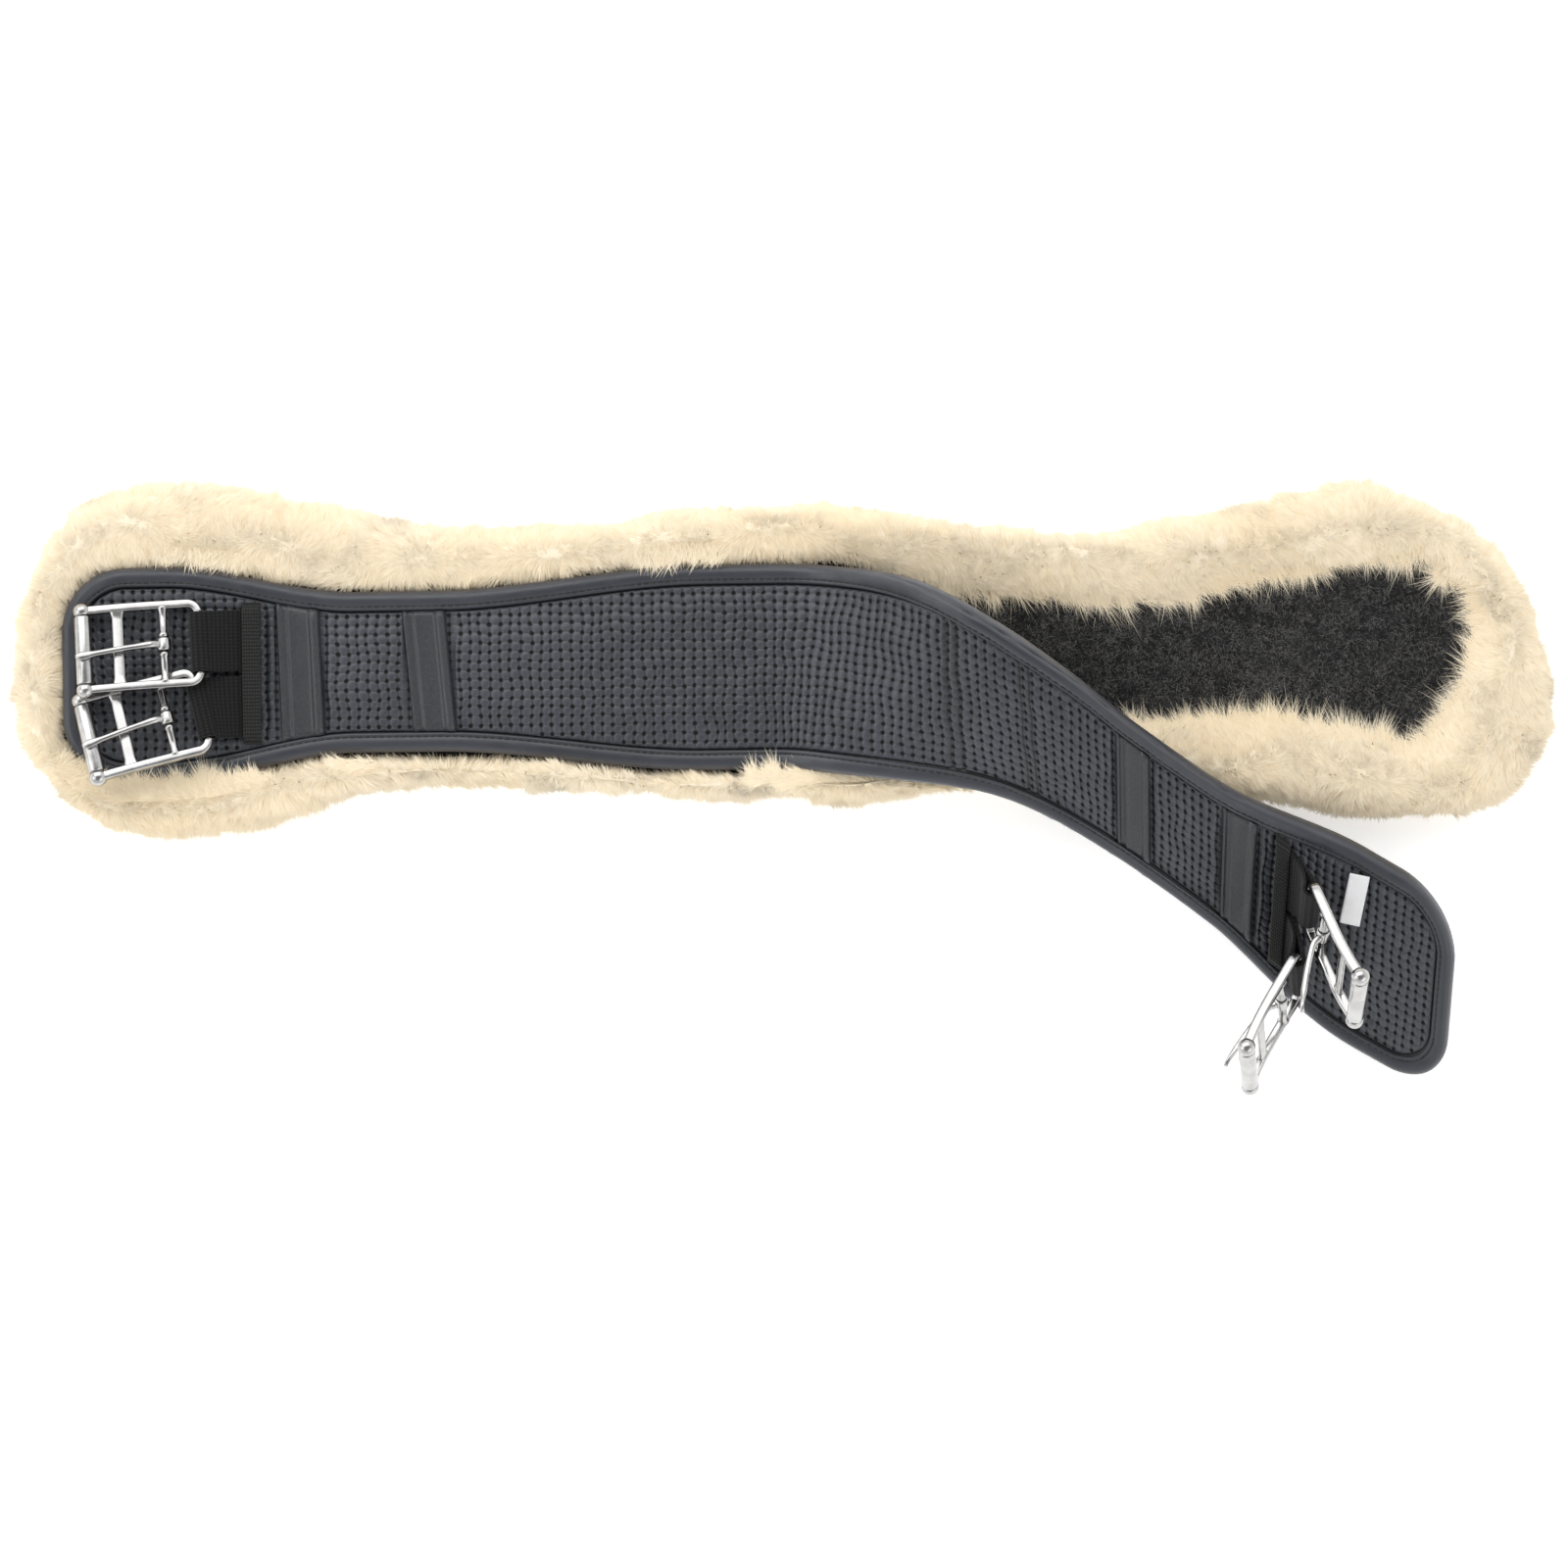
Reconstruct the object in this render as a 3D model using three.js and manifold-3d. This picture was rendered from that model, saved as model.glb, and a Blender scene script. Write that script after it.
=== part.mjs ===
// A short dressage girth lying on its detachable sheepskin liner. The left half of the padded strap
// is pressed on to the liner's loop fabric; the right half is peeled off, turns on to its lower edge
// and runs down past the liner. Two roller buckles hang in elastic webbing loops at each end.
// Millimetres, +Z up, +X along the girth, origin on the surface it lies on, below the liner's middle.
import * as THREE from "three";
import { mergeVertices } from "three/addons/utils/BufferGeometryUtils.js";
import Module from "manifold-3d";

const wasm = await Module();
wasm.setup();

// ---- Driving dimensions ----

// The strap, laid out flat: S runs along it from the fold, V across it from its centre line.
const FOLD_X = -8;
const FOLD_Y = -2.7;
const LEFT_END = -300.7;
const RIGHT_END = 343;
// Where the distances of what is sewn on each half are measured from.
const LEFT_SEWN_FROM = -300.7;
const RIGHT_SEWN_FROM = 338;
const FOLD_GAP = 0.6;
const HALF_WIDTH_END = 46;
const HALF_WIDTH_WAIST = 34.5;
const HALF_WIDTH_MIDDLE = 44;
const CORNER_RADIUS = 28;

// Levels of the strap's layers, from its middle surface.
const HALF_THICK = 5;
const BINDING_LIP = 8.4;
const BINDING_WALL = 1.3;
const LIP_INSIDE = { low: -4.0, high: 3.6 };
const HOOK_LEVELS = [-4.9, -4.0];
const BACKING_LEVELS = [-3.6, -2.8];
const FOAM_LEVELS = [-2.4, 0.6];
const CORE_WEB_LEVELS = [1.0, 2.0];
const COVER_LEVELS = [2.4, 3.2];
const ON_COVER = 3.6;
const LAYER_INSET = 1.7;
const LIP_GAP = 0.5;
const CORE_WEB_HALF = 24;

// How the free half runs: its heading in plan, its climb and its roll on to the lower edge, in degrees.
const HEADING = { attached: 0.8, firstTurn: -7.5, secondTurn: -28, lastTurn: 5 };
const FIRST_TURN = [0, 30];
const SECOND_TURN = [30, 158];
const LAST_TURN = [232, 312];
const CLIMB = { up: 27, down: -15 };
const CLIMB_STARTS = [0, 28];
const CLIMB_ENDS = [58, 118];
const DROP_STARTS = [118, 158];
const DROP_ENDS = [238, 288];
const ROLL = { up: 27.5, back: -4.5 };
const ROLLS_OVER = [16, 108];
const SHEAR = { up: 38, back: -9 };
const SHEARS_OVER = [20, 139];
const EASES_OVER = [190, 306];

// The liner.
const PILE_TOP = 13.6;
const HIDE_LEVELS = [14.0, 15.3];
const LOOP_LEVELS = [15.7, 17.1];
const RIM_TOP = 25;
const POCKET_GAP = 2.5;
const POCKET_RIGHT_X = 298;
const LINER = {
  left: { x: -330, top: { y: 77, radius: 65 }, bottom: { y: -76, radius: 65 } },
  right: { x: 330, top: { y: 77, radius: 94 }, bottom: { y: -66, radius: 45 } },
};

// What is sewn on the strap, as distances along it.
const CROSS_TAPE = [78, 85.5];
const TAPE_WIDTH = CROSS_TAPE[1] - CROSS_TAPE[0];
const OUTER_BAND = [92.5, 112];
const INNER_BAND = [147, 169.5];
const LOOP_SIDE = 14.2;
const WEBBING = { width: 26, layer: 1.5, gap: 0.2 };
const LABEL = { long: 23, wide: 8.6, thick: 0.6, from: 44, v: 23.5, lift: 3.2 };

// The buckles, from the loop bar along the frame.
const ARM = { side: 17.4, radius: 2.05, corner: 4.6 };
const LOOP_BAR_RADIUS = 1.9;
const PIVOT_AT = 15;
const REST_BAR_AT = 34.2;
const ROLLER_AT = 49;
const BOW_FROM = 24;
const BOW_DEPTH = 2;
const ROLLER = { radius: 3.4, bore: 2.2, half: 14.9 };
const AXLE_RADIUS = 1.8;
const TONGUE_LEAN = -3.4;

const STRAP_LEVEL = LOOP_LEVELS[1] + 0.3 + HALF_THICK;

// ---- The strap's middle surface ----

const radians = THREE.MathUtils.degToRad;

// 0 below from, 1 above to, and a smooth rise between them.
function smooth([from, to], value) {
  return THREE.MathUtils.smoothstep(value, from, to);
}

function attitude(s) {
  const heading =
    HEADING.attached +
    HEADING.firstTurn * smooth(FIRST_TURN, s) +
    HEADING.secondTurn * smooth(SECOND_TURN, s) +
    HEADING.lastTurn * smooth(LAST_TURN, s);
  const climb =
    CLIMB.up * smooth(CLIMB_STARTS, s) * (1 - smooth(CLIMB_ENDS, s)) +
    CLIMB.down * smooth(DROP_STARTS, s) * (1 - smooth(DROP_ENDS, s));
  const eased = smooth(EASES_OVER, s);
  const roll = ROLL.up * smooth(ROLLS_OVER, s) + ROLL.back * eased;
  const shear = SHEAR.up * smooth(SHEARS_OVER, s) + SHEAR.back * eased;
  return Object.fromEntries(
    Object.entries({ heading, climb, roll, shear }).map(([name, degrees]) => [name, radians(degrees)]),
  );
}

function tangentAt(s) {
  const { heading, climb } = attitude(s);
  return new THREE.Vector3(
    Math.cos(climb) * Math.cos(heading),
    Math.cos(climb) * Math.sin(heading),
    Math.sin(climb),
  );
}

// The centre line of the free half at every whole millimetre, added up from the tangents.
const centreLine = [new THREE.Vector3(FOLD_X, FOLD_Y, STRAP_LEVEL)];
for (let s = 0; s < RIGHT_END + 1; s++) {
  centreLine.push(centreLine[s].clone().add(tangentAt(s + 0.5)));
}

function centreAt(s) {
  if (s <= 0) return centreLine[0].clone().addScaledVector(tangentAt(0), s);
  const whole = Math.floor(s);
  return centreLine[whole].clone().lerp(centreLine[whole + 1], s - whole);
}

// Along, across (towards the strap's upper edge) and up from the strap at S. The soft strap shears as
// it turns, so across leans back from square while the strap rolls on to its lower edge.
function axesAt(s) {
  const along = tangentAt(s);
  const { heading, roll, shear } = attitude(s);
  const plan = heading + shear + Math.PI / 2;
  const across = new THREE.Vector3(
    Math.cos(roll) * Math.cos(plan),
    Math.cos(roll) * Math.sin(plan),
    Math.sin(roll),
  );
  return { along, across, up: along.clone().cross(across).normalize() };
}

function onStrap(s, v, n) {
  const { across, up } = axesAt(s);
  return centreAt(s).addScaledVector(across, v).addScaledVector(up, n);
}

// Half the flat strap's width away from its round corners, d from its end.
function openHalfWidth(d) {
  return (
    HALF_WIDTH_WAIST +
    (HALF_WIDTH_END - HALF_WIDTH_WAIST) * (1 - smooth([45, 125], d)) +
    (HALF_WIDTH_MIDDLE - HALF_WIDTH_WAIST) * smooth([160, 275], d)
  );
}

// ---- Solids from rings of points ----

// The closed solid between rings of points. cap lists the triangles that close the first ring.
function solidOfRings(rings, cap) {
  const size = rings[0].length;
  const points = rings.flat();
  const index = [];
  for (let r = 0; r + 1 < rings.length; r++) {
    for (let i = 0; i < size; i++) {
      const a = r * size + i;
      const b = r * size + ((i + 1) % size);
      index.push(a, b, a + size, b, b + size, a + size);
    }
  }
  const last = (rings.length - 1) * size;
  for (const [a, b, c] of cap) index.push(a, c, b, last + a, last + b, last + c);
  return facingOut(points, index);
}

// The cap of a ring whose second half runs back along its first half.
function ladder(size) {
  const cap = [];
  for (let i = 0; i + 1 < size / 2; i++) {
    cap.push([i, i + 1, size - 1 - i], [i + 1, size - 2 - i, size - 1 - i]);
  }
  return cap;
}

// The cap of a ring that isn't a ladder, such as a channel.
function hollowCap(section) {
  const outline = flat(section);
  const cap = THREE.ShapeUtils.triangulateShape(outline, []);
  return THREE.ShapeUtils.isClockWise(outline) ? cap.map(([a, b, c]) => [a, c, b]) : cap;
}

// The solid of a ring of closed sections, with no ends.
function solidOfLoop(rings) {
  const size = rings[0].length;
  const index = [];
  for (let r = 0; r < rings.length; r++) {
    const next = ((r + 1) % rings.length) * size;
    for (let i = 0; i < size; i++) {
      const j = (i + 1) % size;
      index.push(r * size + i, r * size + j, next + i, r * size + j, next + j, next + i);
    }
  }
  return facingOut(rings.flat(), index);
}

function facingOut(points, index) {
  let volume = 0;
  for (let i = 0; i < index.length; i += 3) {
    const [a, b, c] = [points[index[i]], points[index[i + 1]], points[index[i + 2]]];
    volume += a.dot(b.clone().cross(c));
  }
  if (volume < 0) index.reverse();
  return new THREE.BufferGeometry().setFromPoints(points).setIndex(index);
}

const flat = (pairs) => pairs.map(([x, y]) => new THREE.Vector2(x, y));

// ---- One half of the strap ----

function sewnReach(side) {
  return Math.abs(side < 0 ? LEFT_SEWN_FROM : RIGHT_SEWN_FROM);
}

// side is -1 for the half that is attached and 1 for the free one.
function strapHalf(side) {
  const end = side < 0 ? LEFT_END : RIGHT_END;
  const reach = Math.abs(end);
  const sewnFrom = sewnReach(side);
  const cells = side < 0 ? 2 : 4;
  const places = [];
  for (let d = FOLD_GAP; d < reach - CORNER_RADIUS - 3; d += side > 0 && d < 126 ? 8 : 16) {
    places.push(d);
  }
  const turns = [90, 68, 46, 28, 13, 0].map(radians);

  // The places of a layer that stops inset short of the strap's outline, each with its half width.
  function widths(inset) {
    const straight = places.map((d) => [side * d, openHalfWidth(reach - d) - inset]);
    const corner = turns.map((turn) => [
      side * (reach - CORNER_RADIUS + (CORNER_RADIUS - inset) * Math.cos(turn)),
      HALF_WIDTH_END - CORNER_RADIUS + (CORNER_RADIUS - inset) * Math.sin(turn),
    ]);
    return straight.concat(corner);
  }

  function layer(stations, [low, high]) {
    const outlines = stations.map(([, half]) => {
      const steps = Array.from({ length: cells + 1 }, (_, i) => half * ((2 * i) / cells - 1));
      return steps.map((v) => [v, high]).concat(steps.reverse().map((v) => [v, low]));
    });
    const rings = outlines.map((outline, r) => outline.map(([v, n]) => onStrap(stations[r][0], v, n)));
    return solidOfRings(rings, ladder(rings[0].length));
  }

  // A plate across the strap, between the binding's lips. profile lists distance and top level.
  function crossPlate(profile, base) {
    const stations = profile.map(([d]) => {
      const s = sewnFrom - d;
      return [side * s, openHalfWidth(reach - s) - BINDING_LIP - LIP_GAP];
    });
    const outlines = stations.map(([, half], r) => [
      [-half, base],
      [half, base],
      [half, profile[r][1]],
      [-half, profile[r][1]],
    ]);
    const rings = outlines.map((outline, r) => outline.map(([v, n]) => onStrap(stations[r][0], v, n)));
    return solidOfRings(rings, ladder(rings[0].length));
  }

  // A leather cross band: a stitched ridge, a flat and a rolled ridge, always in the same order.
  function band([near, far]) {
    const heights = [
      [0, 4.3],
      [0.8, 5.0],
      [2.6, 5.0],
      [3.6, 4.3],
      [13.4, 4.4],
      [14.2, 5.8],
      [17.4, 5.8],
      [18.4, 4.2],
    ];
    const stretch = (far - near) / 18.4;
    const fromFar = heights.map(([x, top]) => [side < 0 ? near + x * stretch : far - x * stretch, top]);
    return crossPlate(fromFar, ON_COVER);
  }

  // The tape that crosses over the tails of the two webbing loops.
  function tape([near, far]) {
    const inner = LOOP_SIDE + WEBBING.width / 2 + 0.9;
    const outer = inner + 1.1;
    const under = ON_COVER + 2 * WEBBING.layer + 1.1;
    const outline = [
      [-outer, ON_COVER],
      [-inner, ON_COVER],
      [-inner, under],
      [inner, under],
      [inner, ON_COVER],
      [outer, ON_COVER],
      [outer, under + 1],
      [-outer, under + 1],
    ];
    const rings = [near, far].map((d) => outline.map(([v, n]) => onStrap(side * (sewnFrom - d), v, n)));
    return solidOfRings(rings, hollowCap(outline));
  }

  // The binding's channel wraps the edge of every layer, up one side, round the end and back.
  function binding() {
    const upper = widths(0);
    const lower = upper.toReversed().map(([s, v]) => [s, -v]);
    const path = upper.concat(lower);
    const section = [
      [0, -2.6],
      [0, 2.6],
      [0.9, 4.2],
      [2.6, HALF_THICK],
      [BINDING_LIP, HALF_THICK],
      [BINDING_LIP, LIP_INSIDE.high],
      [BINDING_WALL, LIP_INSIDE.high],
      [BINDING_WALL, LIP_INSIDE.low],
      [BINDING_LIP, LIP_INSIDE.low],
      [BINDING_LIP, -HALF_THICK],
      [2.6, -HALF_THICK],
      [0.9, -4.2],
    ];
    const rings = path.map(([s, v], i) => {
      const before = path[Math.max(i - 1, 0)];
      const after = path[Math.min(i + 1, path.length - 1)];
      const run = new THREE.Vector2(after[0] - before[0], after[1] - before[1]).normalize();
      const first = i === 0 || i === path.length - 1;
      const inS = first ? 0 : side * run.y;
      const inV = first ? -Math.sign(v) : -side * run.x;
      return section.map(([q, n]) => onStrap(s + inS * q, v + inV * q, n));
    });
    return solidOfRings(rings, hollowCap(section));
  }

  const padded = widths(LAYER_INSET);
  const hooked = widths(BINDING_LIP + LIP_GAP);
  const core = places.filter((d) => d < reach - 64).map((d) => [side * d, CORE_WEB_HALF]);
  return {
    top_cover: layer(padded, COVER_LEVELS),
    core_webbing: layer(core, CORE_WEB_LEVELS),
    foam_pad: layer(padded, FOAM_LEVELS),
    backing: layer(padded, BACKING_LEVELS),
    hook_patch: layer(hooked, HOOK_LEVELS),
    edge_binding: binding(),
    inner_cross_band: band(INNER_BAND),
    outer_cross_band: band(OUTER_BAND),
    cross_tape: tape(CROSS_TAPE),
  };
}

// ---- Joining and cutting ----

function toSolid(geometry) {
  const bare = geometry.clone();
  for (const name of Object.keys(bare.attributes)) {
    if (name !== "position") bare.deleteAttribute(name);
  }
  const merged = mergeVertices(bare, 1e-4);
  return new wasm.Manifold(
    new wasm.Mesh({
      numProp: 3,
      vertProperties: merged.attributes.position.array,
      triVerts: new Uint32Array(merged.index.array),
    }),
  );
}

function joined(geometries) {
  const mesh = geometries
    .map(toSolid)
    .reduce((sum, next) => sum.add(next))
    .getMesh();
  return new THREE.BufferGeometry()
    .setAttribute("position", new THREE.BufferAttribute(mesh.vertProperties, 3))
    .setIndex(new THREE.BufferAttribute(mesh.triVerts, 1));
}

// A round bar through points, as a solid with flat ends.
function tube(points, radius, steps, sides) {
  const circle = Array.from({ length: sides }, (_, i) => {
    const turn = (2 * Math.PI * i) / sides;
    return new THREE.Vector2(radius * Math.cos(turn), radius * Math.sin(turn));
  });
  const extrudePath = new THREE.CatmullRomCurve3(points.map((point) => new THREE.Vector3(...point)));
  return new THREE.ExtrudeGeometry(new THREE.Shape(circle), { steps, extrudePath, bevelEnabled: false });
}

// A turned piece round the Y axis through x = at and z = level; outline lists radius and y.
function turned(outline, at, level, segments) {
  return new THREE.LatheGeometry(flat(outline), segments).translate(at, 0, level);
}

// ---- Buckles ----
// Buckle axes: x from the loop bar to the roller, y across, z away from what the buckle lies on.

function bow(x) {
  return -BOW_DEPTH * (Math.max(x - BOW_FROM, 0) / (ROLLER_AT - BOW_FROM)) ** 2;
}

function buckleFrame() {
  const { side, radius, corner } = ARM;
  const arms = [1, -1].map((hand) => {
    const straight = [ROLLER_AT + 1, 42, 33, BOW_FROM, 12, corner].map((x) => [x, hand * side, bow(x)]);
    const hook = [55, 20, 4].map((degrees) => [
      corner - corner * Math.cos(radians(degrees)),
      hand * (side - corner + corner * Math.sin(radians(degrees))),
      0,
    ]);
    return tube(straight.concat(hook), radius, 11, 6);
  });
  const barEnd = side - corner + 1;
  const loopBar = turned(
    [[0, -barEnd], [LOOP_BAR_RADIUS, -barEnd], [LOOP_BAR_RADIUS, barEnd], [0, barEnd]],
    0,
    0,
    12,
  );
  const pivotBar = turned(
    [[0, -side], [2, -side], [2, -6.4], [2.6, -6.2], [2.6, -5], [1.7, -4.8],
      [1.7, 4.8], [2.6, 5], [2.6, 6.2], [2, 6.4], [2, side], [0, side]],
    PIVOT_AT,
    0,
    8,
  );
  const restBar = new THREE.CylinderGeometry(2.5, 2.5, 2 * side, 8)
    .scale(1, 1, 0.5)
    .translate(REST_BAR_AT, 0, bow(REST_BAR_AT));
  const boss = ROLLER.half + 0.3;
  const axle = turned(
    [[0, -20.2], [2, -19.9], [3.2, -18.6], [3.4, -boss - 0.1], [AXLE_RADIUS, -boss],
      [AXLE_RADIUS, boss], [3.4, boss + 0.1], [3.2, 18.6], [2, 19.9], [0, 20.2]],
    ROLLER_AT,
    bow(ROLLER_AT),
    10,
  );
  return joined([...arms, loopBar, pivotBar, restBar, axle]);
}

function rollerSleeve() {
  const { radius, bore, half } = ROLLER;
  const outline = [[bore, -half], [radius - 0.2, -half], [radius, -half + 0.3],
    [radius, half - 0.3], [radius - 0.2, half], [bore, half], [bore, -half]];
  return turned(outline, ROLLER_AT, bow(ROLLER_AT), 14);
}

// The tongue turns on the pivot bar; open is how far it stands off the roller at rest, in degrees.
function tongue(open) {
  const outline = [[2.15, -3.4], [3.5, -3.4], [3.8, -2.6], [3.8, 2.6], [3.5, 3.4], [2.15, 3.4], [2.15, -3.4]];
  const eye = turned(outline, 0, 0, 12);
  const rollerTop = bow(ROLLER_AT) + ROLLER.radius;
  const reach = ROLLER_AT - PIVOT_AT;
  const shank = tube(
    [
      [2.9, 0, 0.9],
      [7, 0.12 * TONGUE_LEAN, 3.4],
      [17, 0.45 * TONGUE_LEAN, 3.8],
      [27, 0.8 * TONGUE_LEAN, rollerTop + 2.1],
      [reach, TONGUE_LEAN, rollerTop + 1.9],
      [reach + 2.6, 1.08 * TONGUE_LEAN, rollerTop + 1.5],
    ],
    1.45,
    8,
    6,
  );
  return joined([eye, shank]).rotateY(-radians(open)).translate(PIVOT_AT, 0, 0);
}

// ---- Where each buckle hangs ----
// bar is the middle of the loop bar, out points from it to the roller, and across runs along it
// towards the girth's upper edge.
const BUCKLES = [
  {
    name: "left_upper",
    side: -1,
    v: 1,
    bar: [-248.6, 7.2, 33.2],
    out: [-0.995, -0.066, 0.078],
    across: [-0.082, 0.971, -0.224],
  },
  {
    name: "left_lower",
    side: -1,
    v: -1,
    bar: [-247.6, -21.3, 33.6],
    out: [-0.966, -0.248, 0.073],
    across: [-0.258, 0.937, -0.235],
  },
  {
    name: "right_upper",
    side: 1,
    v: 1,
    bar: [221.8, -103.8, 49],
    out: [0.29, -0.79, 0.54],
    across: [-0.05, 0.56, 0.83],
  },
  {
    name: "right_lower",
    side: 1,
    v: -1,
    bar: [218.2, -133.5, 36],
    out: [-0.51, -0.765, 0.39],
    across: [-0.14, 0.53, 0.838],
  },
];
const TONGUES_OPEN = { right_upper: 30, right_lower: 8 };

// The frame of the strap under the tape's outer edge, turned so that its first axis points outwards.
function anchorOf({ side, v }) {
  const s = side * (sewnReach(side) - CROSS_TAPE[0]);
  const { along, across, up } = axesAt(s);
  const origin = onStrap(s, v * LOOP_SIDE, ON_COVER + WEBBING.layer + WEBBING.gap);
  return { origin, out: along.multiplyScalar(side), across, up };
}

// The buckle's own frame as a matrix: x out to the roller, y across, z off the strap.
function buckleMatrix({ side, bar, out, across }) {
  const y = new THREE.Vector3(...across).normalize();
  const x = new THREE.Vector3(...out);
  x.addScaledVector(y, -x.dot(y)).normalize();
  const z = x.clone().cross(y).multiplyScalar(side);
  return new THREE.Matrix4().makeBasis(x, y, z).setPosition(...bar);
}

// Where a loop's run bends up from the strap, from the tape's edge.
const KNEE = { out: 8, up: 3.5 };

// A webbing loop: both layers lie together under the tape, then part round the loop bar.
function webbingLoop(buckle) {
  const { origin, out, across, up } = anchorOf(buckle);
  const matrix = buckleMatrix(buckle);
  const bar = new THREE.Vector3().setFromMatrixPosition(matrix);
  const barAcross = new THREE.Vector3().setFromMatrixColumn(matrix, 1);
  const knee = origin.clone().addScaledVector(out, KNEE.out).addScaledVector(up, KNEE.up);
  const run = new THREE.QuadraticBezierCurve3(origin, knee, bar);
  const length = run.getLength();
  const lastOut = run.getTangent(1);
  lastOut.addScaledVector(barAcross, -lastOut.dot(barAcross)).normalize();

  // The folded strip's middle line, seen from its edge: out along the lower layer, round and back.
  const turn = ARM.radius + 0.5 + WEBBING.layer / 2;
  const lower = [
    [-TAPE_WIDTH + 1, -0.85],
    [0.4, -0.85],
    [3, -0.85],
    [length * 0.5, -0.95],
    [length * 0.74, -1.8],
  ];
  const round = [-105, -75, -45, -15, 15, 45, 75, 105].map((degrees) => [
    length + turn * Math.cos(radians(degrees)),
    turn * Math.sin(radians(degrees)),
  ]);
  const strip = [...lower, ...round, ...lower.toReversed().map(([a, b]) => [a, -b])];

  // A point a along the run, b off its middle and w across it. Past the knee of the run its frame
  // turns from the tape's to the loop bar's.
  function placed(a, b, w) {
    const share = THREE.MathUtils.clamp(a / length, 0, 1);
    const atBar = a > length - turn;
    const side = atBar ? barAcross.clone() : across.clone().lerp(barAcross, share ** 1.6).normalize();
    const centre = atBar
      ? bar.clone().addScaledVector(lastOut, a - length)
      : run.getPointAt(share).addScaledVector(out, Math.min(a, 0));
    const ahead = atBar ? lastOut : a > 0 ? run.getTangentAt(share) : out;
    const raised = ahead.clone().cross(side).normalize();
    return centre.addScaledVector(raised, b).addScaledVector(side, w);
  }

  const half = WEBBING.layer / 2;
  const edge = WEBBING.width / 2;
  const rings = strip.map(([a, b], i) => {
    const [beforeA, beforeB] = strip[Math.max(i - 1, 0)];
    const [afterA, afterB] = strip[Math.min(i + 1, strip.length - 1)];
    const normal = new THREE.Vector2(beforeB - afterB, afterA - beforeA).normalize();
    const [inside, outside] = [half, -half].map((offset) => [a + normal.x * offset, b + normal.y * offset]);
    return [
      ...[-edge, 0, edge].map((w) => placed(...inside, w)),
      ...[edge, 0, -edge].map((w) => placed(...outside, w)),
    ];
  });
  return solidOfRings(rings, ladder(6));
}

// ---- The liner ----

// The flat strap's centre line and ends, as the pocket was cut to fit them.
function pocketCentre(x) {
  return FOLD_Y + (x - FOLD_X) * Math.tan(radians(HEADING.attached));
}

function pocketHalf(x) {
  const d = Math.min(x - FOLD_X - LEFT_END, RIGHT_END + FOLD_X - x);
  return openHalfWidth(Math.max(d, 0)) + POCKET_GAP;
}

// Points round an outline, clockwise from the left end of its top side. Each side is given by its
// height over x, and each end by the centres and radii of its two round corners.
function around({ top, bottom, left, right, sideSteps, cornerSteps }) {
  const points = [];
  const side = (height, from, to) => {
    for (let i = 1; i < sideSteps; i++) {
      const x = from + ((to - from) * i) / sideSteps;
      points.push(new THREE.Vector2(x, height(x)));
    }
  };
  const corner = ({ x, y, radius }, from, to) => {
    for (let i = 0; i <= cornerSteps; i++) {
      const turn = radians(from + ((to - from) * i) / cornerSteps);
      points.push(new THREE.Vector2(x + radius * Math.cos(turn), y + radius * Math.sin(turn)));
    }
  };
  side(top, left.top.x, right.top.x);
  corner(right.top, 90, 3);
  corner(right.bottom, -3, -90);
  side(bottom, right.bottom.x, left.bottom.x);
  corner(left.bottom, -90, -177);
  corner(left.top, 177, 90);
  return points;
}

const OUTLINE_STEPS = { sideSteps: 15, cornerSteps: 6 };

function linerOutline() {
  const fromEnd = (x) => 333 - Math.abs(x);
  const top = (x) => 56 + 21 * (1 - smooth([60, 215], fromEnd(x))) + 10.5 * smooth([215, 330], fromEnd(x));
  const bottom = (x) => {
    const flare = x < 0 ? 22 : 12;
    return -54 - flare * (1 - smooth([60, 190], fromEnd(x))) - 5 * smooth([225, 320], fromEnd(x));
  };
  const centre = ({ y, radius }, x, hand) => ({
    x: x - Math.sign(x) * radius,
    y: y - hand * radius,
    radius,
  });
  const ends = Object.fromEntries(
    Object.entries(LINER).map(([name, end]) => [
      name,
      { top: centre(end.top, end.x, 1), bottom: centre(end.bottom, end.x, -1) },
    ]),
  );
  return around({ top, bottom, ...ends, ...OUTLINE_STEPS });
}

function pocketOutline(inset) {
  const radius = CORNER_RADIUS + 2 - inset;
  const end = (x) => {
    const centreX = x - Math.sign(x) * (radius + inset);
    const half = HALF_WIDTH_END + POCKET_GAP - inset - radius;
    const middle = pocketCentre(centreX);
    return {
      top: { x: centreX, y: middle + half, radius },
      bottom: { x: centreX, y: middle - half, radius },
    };
  };
  return around({
    top: (x) => pocketCentre(x) + pocketHalf(x) - inset,
    bottom: (x) => pocketCentre(x) - pocketHalf(x) + inset,
    left: end(FOLD_X + LEFT_END - POCKET_GAP),
    right: end(POCKET_RIGHT_X),
    ...OUTLINE_STEPS,
  });
}

function slab(outline, [low, high]) {
  const options = { depth: high - low, bevelEnabled: false };
  return new THREE.ExtrudeGeometry(new THREE.Shape(outline), options).translate(0, 0, low);
}

// The rolled edge: share is how far a section point lies from the pocket to the outside.
function fleeceRim() {
  const section = [
    [0, 0],
    [0, 17],
    [0.1, 21.5],
    [0.3, RIM_TOP - 0.6],
    [0.5, RIM_TOP],
    [0.72, RIM_TOP - 1.5],
    [0.9, 18],
    [1, 10],
    [0.96, 3],
    [0.86, 0],
  ];
  const inner = pocketOutline(0);
  const outer = linerOutline();
  const rings = inner.map((near, i) =>
    section.map(([share, z]) => {
      const { x, y } = near.clone().lerp(outer[i], share);
      return new THREE.Vector3(x, y, z);
    }),
  );
  return solidOfLoop(rings);
}

// ---- The label sewn in beside the right upper loop ----

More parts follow.
